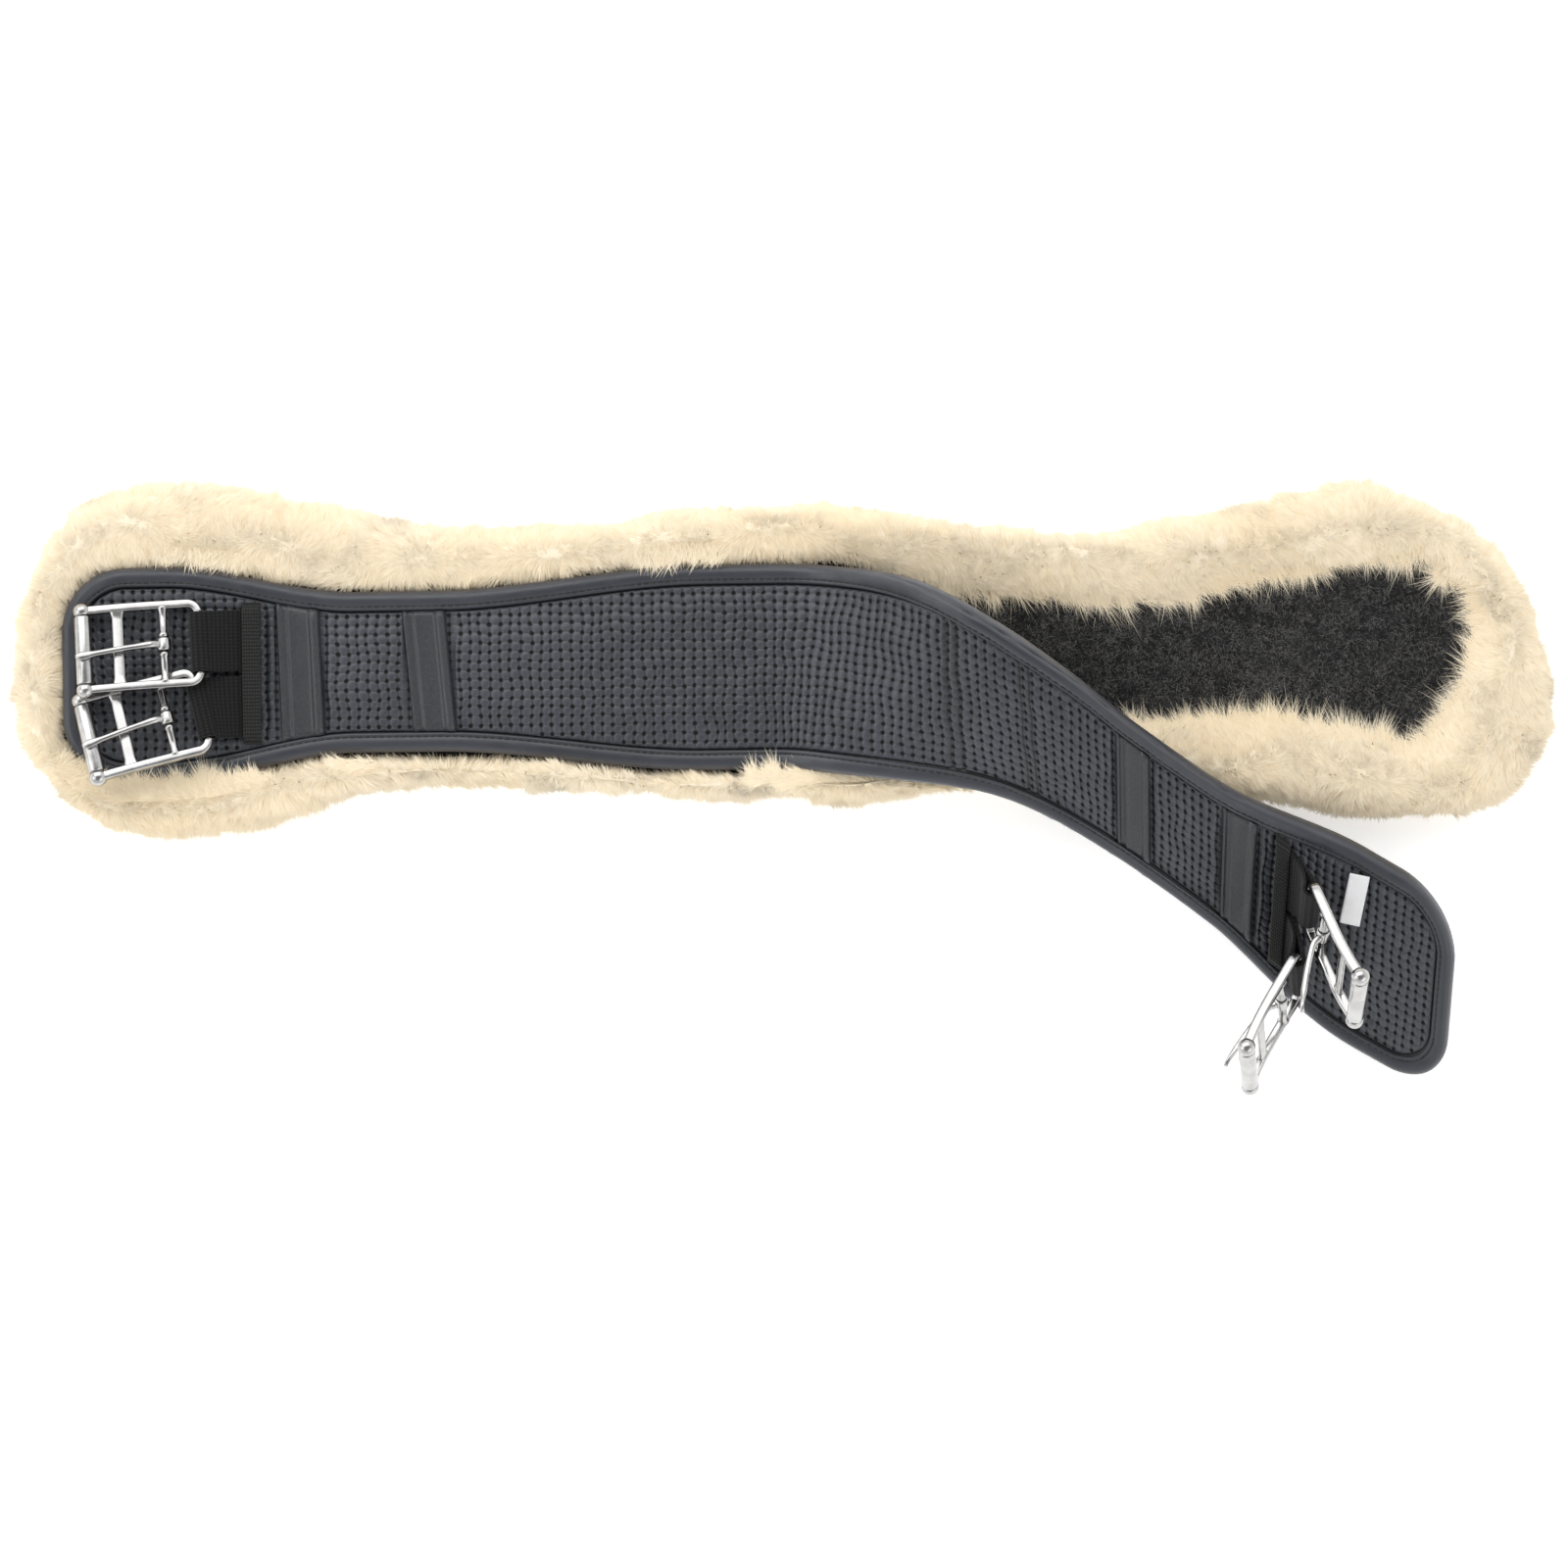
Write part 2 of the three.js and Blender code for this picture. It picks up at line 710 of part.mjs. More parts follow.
function careLabel() {
  const { long, wide, thick, from, v, lift } = LABEL;
  const s = RIGHT_SEWN_FROM - from;
  const { along, across, up } = axesAt(s);
  const down = across.clone().multiplyScalar(-0.9).addScaledVector(along, -0.11).addScaledVector(up, 0.05);
  down.normalize();
  const face = up.clone().addScaledVector(down, -up.dot(down)).normalize();
  const basis = new THREE.Matrix4().makeBasis(down, face.clone().cross(down), face);
  basis.setPosition(onStrap(s, v, COVER_LEVELS[1] + lift));
  return new THREE.BoxGeometry(long, wide, thick).applyMatrix4(basis);
}

// ---- Assembly ----

const FINISH = {
  wool: { color: 0xe9dcb8, roughness: 0.95, metalness: 0 },
  hide: { color: 0xcbb890, roughness: 0.8, metalness: 0 },
  loop: { color: 0x1b1b1c, roughness: 0.95, metalness: 0 },
  leather: { color: 0x2c2e33, roughness: 0.45, metalness: 0 },
  weave: { color: 0x34363a, roughness: 0.55, metalness: 0 },
  foam: { color: 0x77787a, roughness: 0.9, metalness: 0 },
  webbing: { color: 0x141416, roughness: 0.85, metalness: 0 },
  steel: { color: 0xc9c7c4, roughness: 0.15, metalness: 1 },
  label: { color: 0xf2f2ef, roughness: 0.8, metalness: 0 },
};

const STRAP_FINISH = {
  top_cover: "weave",
  core_webbing: "webbing",
  foam_pad: "foam",
  backing: "leather",
  hook_patch: "loop",
  edge_binding: "leather",
  inner_cross_band: "leather",
  outer_cross_band: "leather",
  cross_tape: "webbing",
};

function mesh(name, geometry, finish) {
  const made = new THREE.Mesh(geometry, new THREE.MeshStandardMaterial(FINISH[finish]));
  made.name = name;
  return made;
}

function liner() {
  const group = new THREE.Group();
  const bed = pocketOutline(0.4);
  group.add(
    mesh("fleece_rolled_edge", fleeceRim(), "wool"),
    mesh("fleece_underside", slab(bed, [0, PILE_TOP]), "wool"),
    mesh("sheepskin_hide", slab(bed, HIDE_LEVELS), "hide"),
    mesh("loop_fabric_panel", slab(bed, LOOP_LEVELS), "loop"),
  );
  return group;
}

function strap() {
  const group = new THREE.Group();
  for (const [side, half] of [[-1, "left"], [1, "right"]]) {
    for (const [name, geometry] of Object.entries(strapHalf(side))) {
      group.add(mesh(`${half}_${name}`, geometry, STRAP_FINISH[name]));
    }
  }
  group.add(mesh("care_label", careLabel(), "label"));
  return group;
}

function buckle(place) {
  const group = new THREE.Group();
  group.add(
    mesh(`${place.name}_buckle_frame`, buckleFrame(), "steel"),
    mesh(`${place.name}_buckle_roller`, rollerSleeve(), "steel"),
    mesh(`${place.name}_buckle_tongue`, tongue(TONGUES_OPEN[place.name] ?? 0), "steel"),
  );
  group.applyMatrix4(buckleMatrix(place));
  return group;
}

const girth = new THREE.Group();
girth.add(liner(), strap());
for (const place of BUCKLES) {
  girth.add(mesh(`${place.name}_elastic_loop`, webbingLoop(place), "webbing"), buckle(place));
}

export default girth;
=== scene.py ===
import math

import bmesh
import bpy
import numpy as np
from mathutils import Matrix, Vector


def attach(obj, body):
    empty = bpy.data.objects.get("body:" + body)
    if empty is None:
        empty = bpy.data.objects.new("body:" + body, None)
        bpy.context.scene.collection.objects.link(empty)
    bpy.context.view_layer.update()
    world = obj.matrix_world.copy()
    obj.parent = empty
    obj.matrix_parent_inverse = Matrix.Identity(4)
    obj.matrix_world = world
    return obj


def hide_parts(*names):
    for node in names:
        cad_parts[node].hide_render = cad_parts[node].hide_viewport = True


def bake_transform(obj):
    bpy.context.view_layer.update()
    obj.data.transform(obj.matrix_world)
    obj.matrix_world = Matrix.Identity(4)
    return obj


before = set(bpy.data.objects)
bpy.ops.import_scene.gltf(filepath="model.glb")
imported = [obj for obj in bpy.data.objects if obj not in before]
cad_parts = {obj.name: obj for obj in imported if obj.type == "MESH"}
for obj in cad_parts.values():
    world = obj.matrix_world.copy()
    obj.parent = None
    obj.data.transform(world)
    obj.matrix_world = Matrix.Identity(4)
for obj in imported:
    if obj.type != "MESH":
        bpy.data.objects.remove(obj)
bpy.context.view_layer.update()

RANDOM = np.random.default_rng(216)
MM = 0.001

# ---- Dimensions in millimetres, as in the CAD ----

FOLD = np.array([-8.0, -2.7, 22.4])
LEFT_END = -300.7
RIGHT_END = 343.0
SEWN_FROM = {"left": -300.7, "right": 338.0}
CORNER = 28.0
HALF_END = 46.0
HALF_WAIST = 34.5
HALF_MIDDLE = 44.0
LIP = 8.4
LOOP_SIDE = 14.2
STITCHES_AT = 6.7
WEB_WIDTH = 26.0
WEB_LAYER = 1.5
TAPE_NEAR = 78.0
TAPE_FAR = 85.5
TAPE_REACH = 30.3
PITCH_S = 4.35
PITCH_V = 3.95
SIDES = {-1: "left", 1: "right"}


# How the strap turns along its length, in degrees: each row adds an amount between two places.
HEADING_AT_FOLD = 0.8
HEADING = [(-7.5, 0, 30), (-28, 30, 158), (5, 232, 312)]
CLIMB = [(27, 0, 28), (-27, 58, 118), (-15, 118, 158), (15, 238, 288)]
ROLL = [(27.5, 16, 108), (-4.5, 190, 306)]
SHEAR = [(38, 20, 139), (-9, 190, 306)]
# How the strap's half width changes with the distance from its end.
HALF_WIDTHS = [(HALF_WAIST - HALF_END, 45, 125), (HALF_MIDDLE - HALF_WAIST, 160, 275)]


def smooth(low, high, value):
    t = np.clip((np.asarray(value, float) - low) / (high - low), 0, 1)
    return t * t * (3 - 2 * t)


def ramps(rows, at):
    """The sum of smooth rises, each an amount between two places."""
    return sum(amount * smooth(low, high, at) for amount, low, high in rows)


def unit(vectors):
    vectors = np.asarray(vectors, float)
    return vectors / np.maximum(np.linalg.norm(vectors, axis=-1, keepdims=True), 1e-12)


def lengths_along(points):
    """The distance along a line of points to each of them."""
    return np.concatenate([[0], np.cumsum(np.linalg.norm(np.diff(points, axis=0), axis=1))])


def look_up(at, places, table):
    """The rows of a table, given at rising places, read at others."""
    return np.stack([np.interp(at, places, column) for column in table.T], -1)


def spline(a, b, c, d, t):
    """Points on the smooth curve from b to c, where a comes before them and d after."""
    return 0.5 * (2 * b + (c - a) * t + (2 * a - 5 * b + 4 * c - d) * t**2 + (3 * b - a - 3 * c + d) * t**3)


# ---- The strap's middle surface ----


def attitude(s):
    heading = HEADING_AT_FOLD + ramps(HEADING, s)
    return [np.radians(angle) for angle in (heading, ramps(CLIMB, s), ramps(ROLL, s), ramps(SHEAR, s))]


def tangent(s):
    heading, climb, _, _ = attitude(s)
    return np.stack([np.cos(climb) * np.cos(heading), np.cos(climb) * np.sin(heading), np.sin(climb)], -1)


STEPS = np.arange(int(RIGHT_END) + 2)
CENTRES = FOLD + np.vstack([np.zeros(3), np.cumsum(tangent(STEPS + 0.5), axis=0)])


def centre(s):
    s = np.asarray(s, float)
    curve = look_up(np.clip(s, 0, len(STEPS)), np.arange(len(CENTRES)), CENTRES)
    return curve + tangent(0.0) * np.minimum(s, 0)[..., None]


def axes(s):
    along = tangent(s)
    heading, _, roll, shear = attitude(s)
    plan = heading + shear + math.pi / 2
    across = np.stack([np.cos(roll) * np.cos(plan), np.cos(roll) * np.sin(plan), np.sin(roll)], -1)
    return along, across, unit(np.cross(along, across))


def on_strap(s, v, n):
    s, v, n = np.broadcast_arrays(np.asarray(s, float), v, n)
    _, across, up = axes(s)
    return centre(s) + across * v[..., None] + up * n[..., None]


def open_half(d):
    return HALF_END + ramps(HALF_WIDTHS, d)


def end_distance(s):
    s = np.asarray(s)
    return np.where(s < 0, s - LEFT_END, RIGHT_END - s)


def sewn_distance(s):
    s = np.asarray(s)
    return np.where(s < 0, s - SEWN_FROM["left"], SEWN_FROM["right"] - s)


def edge_distance(s, v):
    """How far a point of the strap lies from its outline."""
    d = end_distance(s)
    v = np.abs(v)
    flat_end = HALF_END - CORNER
    in_corner = (d < CORNER) & (v > flat_end)
    rounded = CORNER - np.hypot(CORNER - d, v - flat_end)
    return np.where(in_corner, rounded, np.minimum(d, open_half(d) - v))


def strap_rows(inset, spacing):
    """Places along the strap, and the half width there of a layer that stops inset short of the outline."""
    turns = np.radians(np.linspace(90, 0, 15))
    rows = []
    for side, reach in ((-1, -LEFT_END), (1, RIGHT_END)):
        straight = np.linspace(0, reach - CORNER, int((reach - CORNER) / spacing))[(side > 0) : -1]
        s = np.concatenate([straight, reach - CORNER + (CORNER - inset) * np.cos(turns)])
        round_half = HALF_END - CORNER + (CORNER - inset) * np.sin(turns)
        half = np.concatenate([open_half(reach - straight) - inset, round_half])
        rows.append((side * s, half))
    (left_s, left_half), (right_s, right_half) = rows
    return np.concatenate([left_s[::-1], right_s]), np.concatenate([left_half[::-1], right_half])


# ---- Smooth seeded noise: a sum of plane waves ----

WAVE_COUNT = 14


class Waves:
    """Smooth noise with about unit spread."""

    def __init__(self, length, dims=3):
        directions = unit(RANDOM.normal(size=(WAVE_COUNT, dims)))
        lengths = length * RANDOM.uniform(0.7, 1.5, size=(WAVE_COUNT, 1))
        self.k = directions * 2 * math.pi / lengths
        self.phase = RANDOM.uniform(0, 2 * math.pi, size=WAVE_COUNT)

    def __call__(self, points):
        return np.cos(points @ self.k.T + self.phase).mean(axis=-1) * math.sqrt(2 * WAVE_COUNT) / 1.4


# ---- Mesh helpers ----


def grid_faces(rows, cols, loop_rows=False, loop_cols=False):
    """The faces of a grid of points, which may close on itself either way."""
    r, c = np.indices((rows - (not loop_rows), cols - (not loop_cols)))
    up, right = (r + 1) % rows, (c + 1) % cols
    return np.stack([r * cols + c, r * cols + right, up * cols + right, up * cols + c], -1).reshape(-1, 4)


def add_object(name, data):
    obj = bpy.data.objects.new(name, data)
    bpy.context.scene.collection.objects.link(obj)
    return obj


def add_values(mesh, values):
    """Gives a mesh's points named values for its material to read."""
    for key, data in values.items():
        layer = mesh.attributes.new(key, "FLOAT", "POINT")
        layer.data.foreach_set("value", np.asarray(data, np.float32).ravel())


def build(name, points, faces, material, uv=None, values=None, weld=False):
    """A smooth-shaded mesh from points in millimetres. uv is one pair per point."""
    mesh = bpy.data.meshes.new(name)
    places = np.asarray(points, float).reshape(-1, 3) * MM
    mesh.from_pydata(places.tolist(), [], [list(map(int, face)) for face in faces])
    if uv is not None:
        corners = np.empty(len(mesh.loops), int)
        mesh.loops.foreach_get("vertex_index", corners)
        pairs = np.asarray(uv, float).reshape(-1, 2)[corners]
        mesh.uv_layers.new(name="Flat").data.foreach_set("uv", pairs.ravel())
    add_values(mesh, values or {})
    bm = bmesh.new()
    bm.from_mesh(mesh)
    if weld:
        bmesh.ops.remove_doubles(bm, verts=bm.verts, dist=1e-6)
    bmesh.ops.recalc_face_normals(bm, faces=bm.faces)
    bm.to_mesh(mesh)
    bm.free()
    mesh.shade_smooth()
    mesh.materials.append(material)
    obj = add_object(name, mesh)
    return obj


def shell(top, bottom):
    """Points and faces of the closed shell between two grids of the same size."""
    rows, cols, _ = top.shape
    count = rows * cols
    upper = grid_faces(rows, cols)
    index = np.arange(count).reshape(rows, cols)
    rim = np.concatenate([index[0, :-1], index[:-1, -1], index[-1, :0:-1], index[:0:-1, 0]])
    after = np.roll(rim, -1)
    sides = np.stack([after, rim, rim + count, after + count], -1)
    faces = np.vstack([upper, upper[:, ::-1] + count, sides])
    return np.vstack([top.reshape(-1, 3), bottom.reshape(-1, 3)]), faces


def capped(rings):
    """Points and faces of the solid along rings of points, closed by a face at each end."""
    rows, cols, _ = rings.shape
    faces = grid_faces(rows, cols, loop_cols=True).tolist()
    faces.append(list(range(cols))[::-1])
    faces.append(list(range((rows - 1) * cols, rows * cols)))
    return rings.reshape(-1, 3), faces


# ---- Shader helpers ----


class Shader:
    """A material with a Principled shader, and short ways to add nodes to it."""

    def __init__(self, name, **inputs):
        self.material = bpy.data.materials.new(name)
        self.material.use_nodes = True
        self.tree = self.material.node_tree
        self.bsdf = self.tree.nodes["Principled BSDF"]
        self.finish(**inputs)

    def fill(self, node, inputs):
        for key, value in inputs.items():
            socket = node.inputs[key.replace("_", " ") if isinstance(key, str) else key]
            if isinstance(value, bpy.types.NodeSocket):
                self.tree.links.new(value, socket)
            else:
                socket.default_value = value

    def finish(self, **inputs):
        """Sets or links inputs of the Principled shader, and hands over the material."""
        self.fill(self.bsdf, inputs)
        return self.material

    def add(self, kind, inputs, out=0, **settings):
        node = self.tree.nodes.new("ShaderNode" + kind)
        for key, value in settings.items():
            setattr(node, key, value)
        self.fill(node, inputs)
        return node.outputs[out]

    def calc(self, operation, *values):
        return self.add("Math", dict(enumerate(values)), operation=operation)

    def plus(self, a, b):
        return self.calc("ADD", a, b)

    def times(self, a, b):
        return self.calc("MULTIPLY", a, b)

    def off(self, value, middle):
        """How far a value is from a middle, either way."""
        return self.calc("ABSOLUTE", self.calc("SUBTRACT", value, middle))

    def ripple(self, value, turns_per_unit):
        """A sine of the value, from 0 to 1."""
        wave = self.calc("SINE", self.times(value, turns_per_unit))
        return self.calc("MULTIPLY_ADD", wave, 0.5, 0.5)

    def where(self):
        return self.add("TexCoord", {}, out="Object")

    def noise(self, scale, detail=3.0, rough=0.5):
        inputs = {"Vector": self.where(), "Scale": scale, "Detail": detail, "Roughness": rough}
        return self.add("TexNoise", inputs, out="Fac")

    def cells(self, scale, feature):
        inputs = {"Vector": self.where(), "Scale": scale}
        return self.add("TexVoronoi", inputs, feature=feature)

    def step(self, value, low, high, to_low=0.0, to_high=1.0):
        inputs = {0: value, 1: low, 2: high, 3: to_low, 4: to_high}
        return self.add("MapRange", inputs, interpolation_type="SMOOTHSTEP")

    def mix(self, share, a, b, blend="MIX"):
        return self.add("Mix", {0: share, 6: a, 7: b}, out=2, data_type="RGBA", blend_type=blend)

    def bump(self, height, distance):
        return self.add("Bump", {"Height": height, "Distance": distance})

    def attribute(self, name):
        return self.add("Attribute", {}, out="Fac", attribute_name=name)

    def flat(self):
        """The piece's own flat coordinates, in millimetres."""
        pair = self.add("UVMap", {}, uv_map="Flat")
        return [self.add("SeparateXYZ", {0: pair}, out=axis) for axis in (0, 1)]


def grey(value, blue=1.0, red=1.0):
    return (value * red, value, value * blue, 1.0)


def rgb(red, green, blue):
    return (red, green, blue, 1.0)


# ---- Materials ----


def leather_material(name, tone, roughness=0.36):
    sh = Shader(name, IOR=1.5, Coat_Weight=0.3, Coat_Roughness=0.24)
    fine = sh.noise(900, 3, 0.6)
    dark, light = grey(tone * 0.88, 1.24, 0.93), grey(tone * 1.1, 1.22, 0.93)
    colour = sh.mix(sh.step(sh.noise(18), 0.35, 0.65), dark, light)
    colour = sh.mix(sh.step(fine, 0.3, 0.75, 0.0, 0.5), colour, grey(tone * 0.6, 1.1))
    pores = sh.step(sh.cells(1300.0, "DISTANCE_TO_EDGE"), 0.0, 0.22)
    normal = sh.bump(sh.plus(pores, sh.times(fine, 0.6)), 0.00007)
    scuff = sh.step(sh.noise(60, 4, 0.7), 0.45, 0.7, roughness - 0.05, roughness + 0.12)
    return sh.finish(Base_Color=colour, Roughness=scuff, Normal=normal)


def weave_material():
    """Perforated basket-weave leather: pads in rows, and a hole at each corner between them."""
    sh = Shader("perforated_weave", IOR=1.5)
    s, v = sh.flat()
    seam, edge = sh.attribute("seam"), sh.attribute("edge")

    def from_hole(value, pitch):
        turn = sh.calc("FRACT", sh.plus(sh.calc("DIVIDE", value, pitch), 200.5))
        return sh.times(sh.calc("SUBTRACT", turn, 0.5), pitch)

    off_s, off_v = from_hole(s, PITCH_S), from_hole(v, PITCH_V)
    ragged = sh.times(sh.calc("SUBTRACT", sh.noise(700, 2), 0.5), 0.5)
    radius = sh.calc("SQRT", sh.plus(sh.calc("POWER", off_s, 2.0), sh.calc("POWER", off_v, 2.0)))
    holes = sh.times(sh.step(sh.plus(radius, ragged), 0.65, 1.25, 1.0, 0.0), sh.attribute("holed"))
    column = sh.step(sh.calc("ABSOLUTE", off_s), 0.1, 0.8, 1.0, 0.0)
    row = sh.step(sh.calc("ABSOLUTE", off_v), 0.1, 0.7, 0.5, 0.0)
    lines = sh.times(sh.calc("MAXIMUM", column, row), sh.step(edge, 9.6, 10.4))
    # Painted shade in the seams' dips and along the field's rim by the binding, and on the plain strip under
    # it.
    seam_and_rim_shade = sh.calc("MAXIMUM", seam, sh.step(edge, 8.9, 9.5, 1.0, 0.0))
    fine = sh.noise(1100, 3, 0.6)
    colour = sh.mix(sh.step(sh.noise(20), 0.35, 0.65), grey(0.037, 1.26, 0.93), grey(0.051, 1.24, 0.93))
    # Lighter spots about a pad's size, scattered at random: painted highlights on the pads.
    colour = sh.mix(sh.step(sh.noise(230, 1), 0.35, 0.65, 0.0, 0.35), colour, grey(0.078, 1.15, 0.95))
    # The lines between the pads are painted darker: painted shade in the grooves between them.
    colour = sh.mix(sh.times(lines, 0.6), colour, grey(0.013, 1.1))
    colour = sh.mix(sh.times(seam_and_rim_shade, 0.9), colour, grey(0.008, 1.05))
    # The holes are painted near black: painted shade for their depth, which the surface only dips at.
    colour = sh.mix(holes, colour, grey(0.002))
    normal = sh.bump(sh.calc("SUBTRACT", sh.times(fine, 0.25), lines), 0.00018)
    roughness = sh.step(sh.plus(holes, sh.times(fine, 0.3)), 0.0, 1.0, 0.36, 0.85)
    return sh.finish(Base_Color=colour, Roughness=roughness, Normal=normal)


def binding_material():
    """Smooth leather with painted shade in the furrow its stitches lie in and along its inner edge. Flat Y is
    the distance from the edge.
    """
    sh = Shader("binding_leather", IOR=1.5, Coat_Weight=0.1, Coat_Roughness=0.3)
    along, q = sh.flat()
    fine = sh.noise(1000, 3, 0.6)
    furrow = sh.step(sh.off(q, STITCHES_AT), 0.15, 0.7, 1.0, 0.0)
    # A lighter band along the rolled outer edge, broken up by noise: a painted highlight.
    edge_highlight = sh.step(sh.plus(sh.off(q, 1.2), sh.noise(90)), 0.5, 1.5, 0.5, 0.0)
    colour = sh.mix(sh.step(sh.noise(14), 0.35, 0.65), grey(0.032, 1.26, 0.92), grey(0.043, 1.24, 0.92))
    colour = sh.mix(edge_highlight, colour, grey(0.07, 1.15))
    for shadow in (furrow, sh.step(q, 7.9, 8.35)):
        colour = sh.mix(sh.times(shadow, 0.7), colour, grey(0.02, 1.05))
    run = sh.add("CombineXYZ", {"X": sh.times(along, 0.33)})
    pucker = sh.add("TexWave", {"Vector": run, "Scale": 1.0}, out="Fac", wave_type="BANDS")
    height = sh.plus(sh.times(fine, 0.25), sh.times(sh.times(pucker, furrow), 0.8))
    roughness = sh.step(sh.noise(70, 4, 0.7), 0.4, 0.7, 0.36, 0.5)
    return sh.finish(Base_Color=colour, Roughness=roughness, Normal=sh.bump(height, 0.00022))


def webbing_material(name, tone, rib_pitch, across_pitch, brown=1.0):
    """Ribbed webbing. Flat X runs along it and Y across it."""
    sh = Shader(name, Roughness=0.85, Sheen_Weight=0.08, Specular_IOR_Level=0.2)
    along, across = sh.flat()
    rib = sh.ripple(along, 2 * math.pi / rib_pitch)
    thread = sh.ripple(across, 2 * math.pi / across_pitch)
    fuzz = sh.noise(1500, 3, 0.7)
    knots = sh.times(rib, sh.calc("MULTIPLY_ADD", thread, 0.8, 0.2))
    # The ribs' crests are painted lighter and their hollows darker: painted light and shade on the weave.
    dark, light, worn = (grey(tone * times, 1 / brown, brown) for times in (0.35, 1.5, 3.0))
    colour = sh.mix(sh.step(fuzz, 0.55, 0.8, 0.0, 0.5), sh.mix(knots, dark, light), worn)
    return sh.finish(Base_Color=colour, Normal=sh.bump(sh.plus(knots, sh.times(fuzz, 0.4)), 0.0003))


def steel_material():
    sh = Shader("polished_steel", Metallic=1.0)
    smear = sh.noise(120, 4, 0.6)
    colour = sh.mix(sh.step(smear, 0.35, 0.7), rgb(0.43, 0.425, 0.42), rgb(0.54, 0.535, 0.53))
    return sh.finish(Base_Color=colour, Roughness=sh.step(smear, 0.3, 0.75, 0.16, 0.26))


def fibre_material(name, shaded_root, tip, sheen):
    """Wool or lint. The blades carry how far a point is towards the tip, and a random tone."""
    sh = Shader(name, Roughness=0.9, Sheen_Weight=sheen, Sheen_Roughness=0.4)
    # Each fibre is painted darker at its root than at its tip: painted shade deep in the pile.
    colour = sh.mix(sh.step(sh.attribute("tip"), 0.0, 0.85), shaded_root, tip)
    warm = rgb(tip[0] * 0.97, tip[1] * 0.93, tip[2] * 0.84)
    colour = sh.mix(sh.step(sh.noise(16), 0.4, 0.7, 0.0, 0.5), colour, warm)
    shade = sh.mix(sh.attribute("tone"), rgb(0.92, 0.89, 0.84), rgb(1.03, 1.04, 1.05))
    return sh.finish(Base_Color=sh.mix(1.0, colour, shade, "MULTIPLY"))


def fleece_material():
    """The dense pile below the fibres' tips."""
    sh = Shader("fleece_pile", Roughness=0.95, Sheen_Weight=0.3)
    tuft = sh.noise(130, 5, 0.65)
    colour = sh.mix(sh.step(tuft, 0.3, 0.7), rgb(0.87, 0.77, 0.59), rgb(0.93, 0.84, 0.67))
    colour = sh.mix(sh.step(sh.noise(14, 2), 0.4, 0.7, 0.0, 0.4), colour, rgb(0.84, 0.73, 0.54))
    return sh.finish(Base_Color=colour, Normal=sh.bump(sh.plus(tuft, sh.times(sh.noise(900), 0.3)), 0.0002))


def loop_fabric_material():
    """Brushed black loop fabric, with grey lint caught in it."""
    sh = Shader("loop_fabric", Roughness=0.95, Sheen_Weight=0.12, Specular_IOR_Level=0.2)
    lint = sh.noise(420, 5, 0.75)
    cloud = sh.noise(40, 4, 0.6)
    colour = sh.mix(sh.step(lint, 0.42, 0.72), grey(0.006), grey(0.036))
    colour = sh.mix(sh.step(cloud, 0.45, 0.75, 0.0, 0.3), colour, grey(0.05, 0.97))
    return sh.finish(Base_Color=colour, Normal=sh.bump(sh.plus(sh.cells(700.0, "F1"), lint), 0.0006))


def plain_cloth_material(name, colour, dark, scale=900.0, bump=0.0002, roughness=0.8):
    sh = Shader(name, Roughness=roughness)
    weave = sh.noise(scale, 4, 0.6)
    return sh.finish(Base_Color=sh.mix(sh.step(weave, 0.35, 0.7), dark, colour), Normal=sh.bump(weave, bump))


def label_material():
    sh = Shader("label_ribbon", Roughness=0.7)
    warp, weft = (sh.calc("SINE", sh.times(place, 15.0)) for place in sh.flat())
    rib = sh.calc("MULTIPLY_ADD", sh.times(warp, weft), 0.5, 0.5)
    soil = sh.step(sh.noise(150), 0.4, 0.8, 0.0, 0.4)
    colour = sh.mix(soil, rgb(0.86, 0.86, 0.87), rgb(0.7, 0.7, 0.71))
    return sh.finish(Base_Color=colour, Normal=sh.bump(rib, 0.00005))


LEATHER = leather_material("band_leather", 0.028)
WEAVE = weave_material()
BINDING = binding_material()
ELASTIC = webbing_material("elastic_webbing", 0.012, 1.9, 1.5)
TAPE = webbing_material("cross_tape", 0.027, 1.5, 1.1, 1.03)
STEEL = steel_material()
WOOL = fibre_material("wool_fibres", rgb(0.87, 0.765, 0.58), rgb(0.94, 0.85, 0.68), 0.1)
PILE = fleece_material()
LINT = fibre_material("loop_lint", grey(0.03), grey(0.16), 0.4)
LOOP = loop_fabric_material()
THREAD = plain_cloth_material("stitch_thread", grey(0.022), grey(0.006), 1500.0, 0.0001, 0.5)
HIDE = plain_cloth_material("sheepskin_hide", rgb(0.62, 0.5, 0.33), rgb(0.45, 0.35, 0.22), 300.0)
FOAM = plain_cloth_material("foam", grey(0.2), grey(0.12), 600.0)
HOOKS = plain_cloth_material("hook_fabric", grey(0.05), grey(0.01), 1300.0, 0.0006)
BACKING = leather_material("backing_leather", 0.03, 0.5)
LABEL_RIBBON = label_material()


def dress(names, material):
    """Gives CAD nodes that stay a material of their own."""
    for name in names:
        slots = bpy.data.objects[name].material_slots
        for slot in slots:
            slot.material = material


dress(["sheepskin_hide"], HIDE)
dress(["left_foam_pad", "right_foam_pad"], FOAM)
dress(["left_core_webbing", "right_core_webbing"], ELASTIC)


def across_fold(piece):
    """Bakes the placement of cloth that runs through the fold into its points."""
    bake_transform(piece)
    return piece


# ---- The cover ----

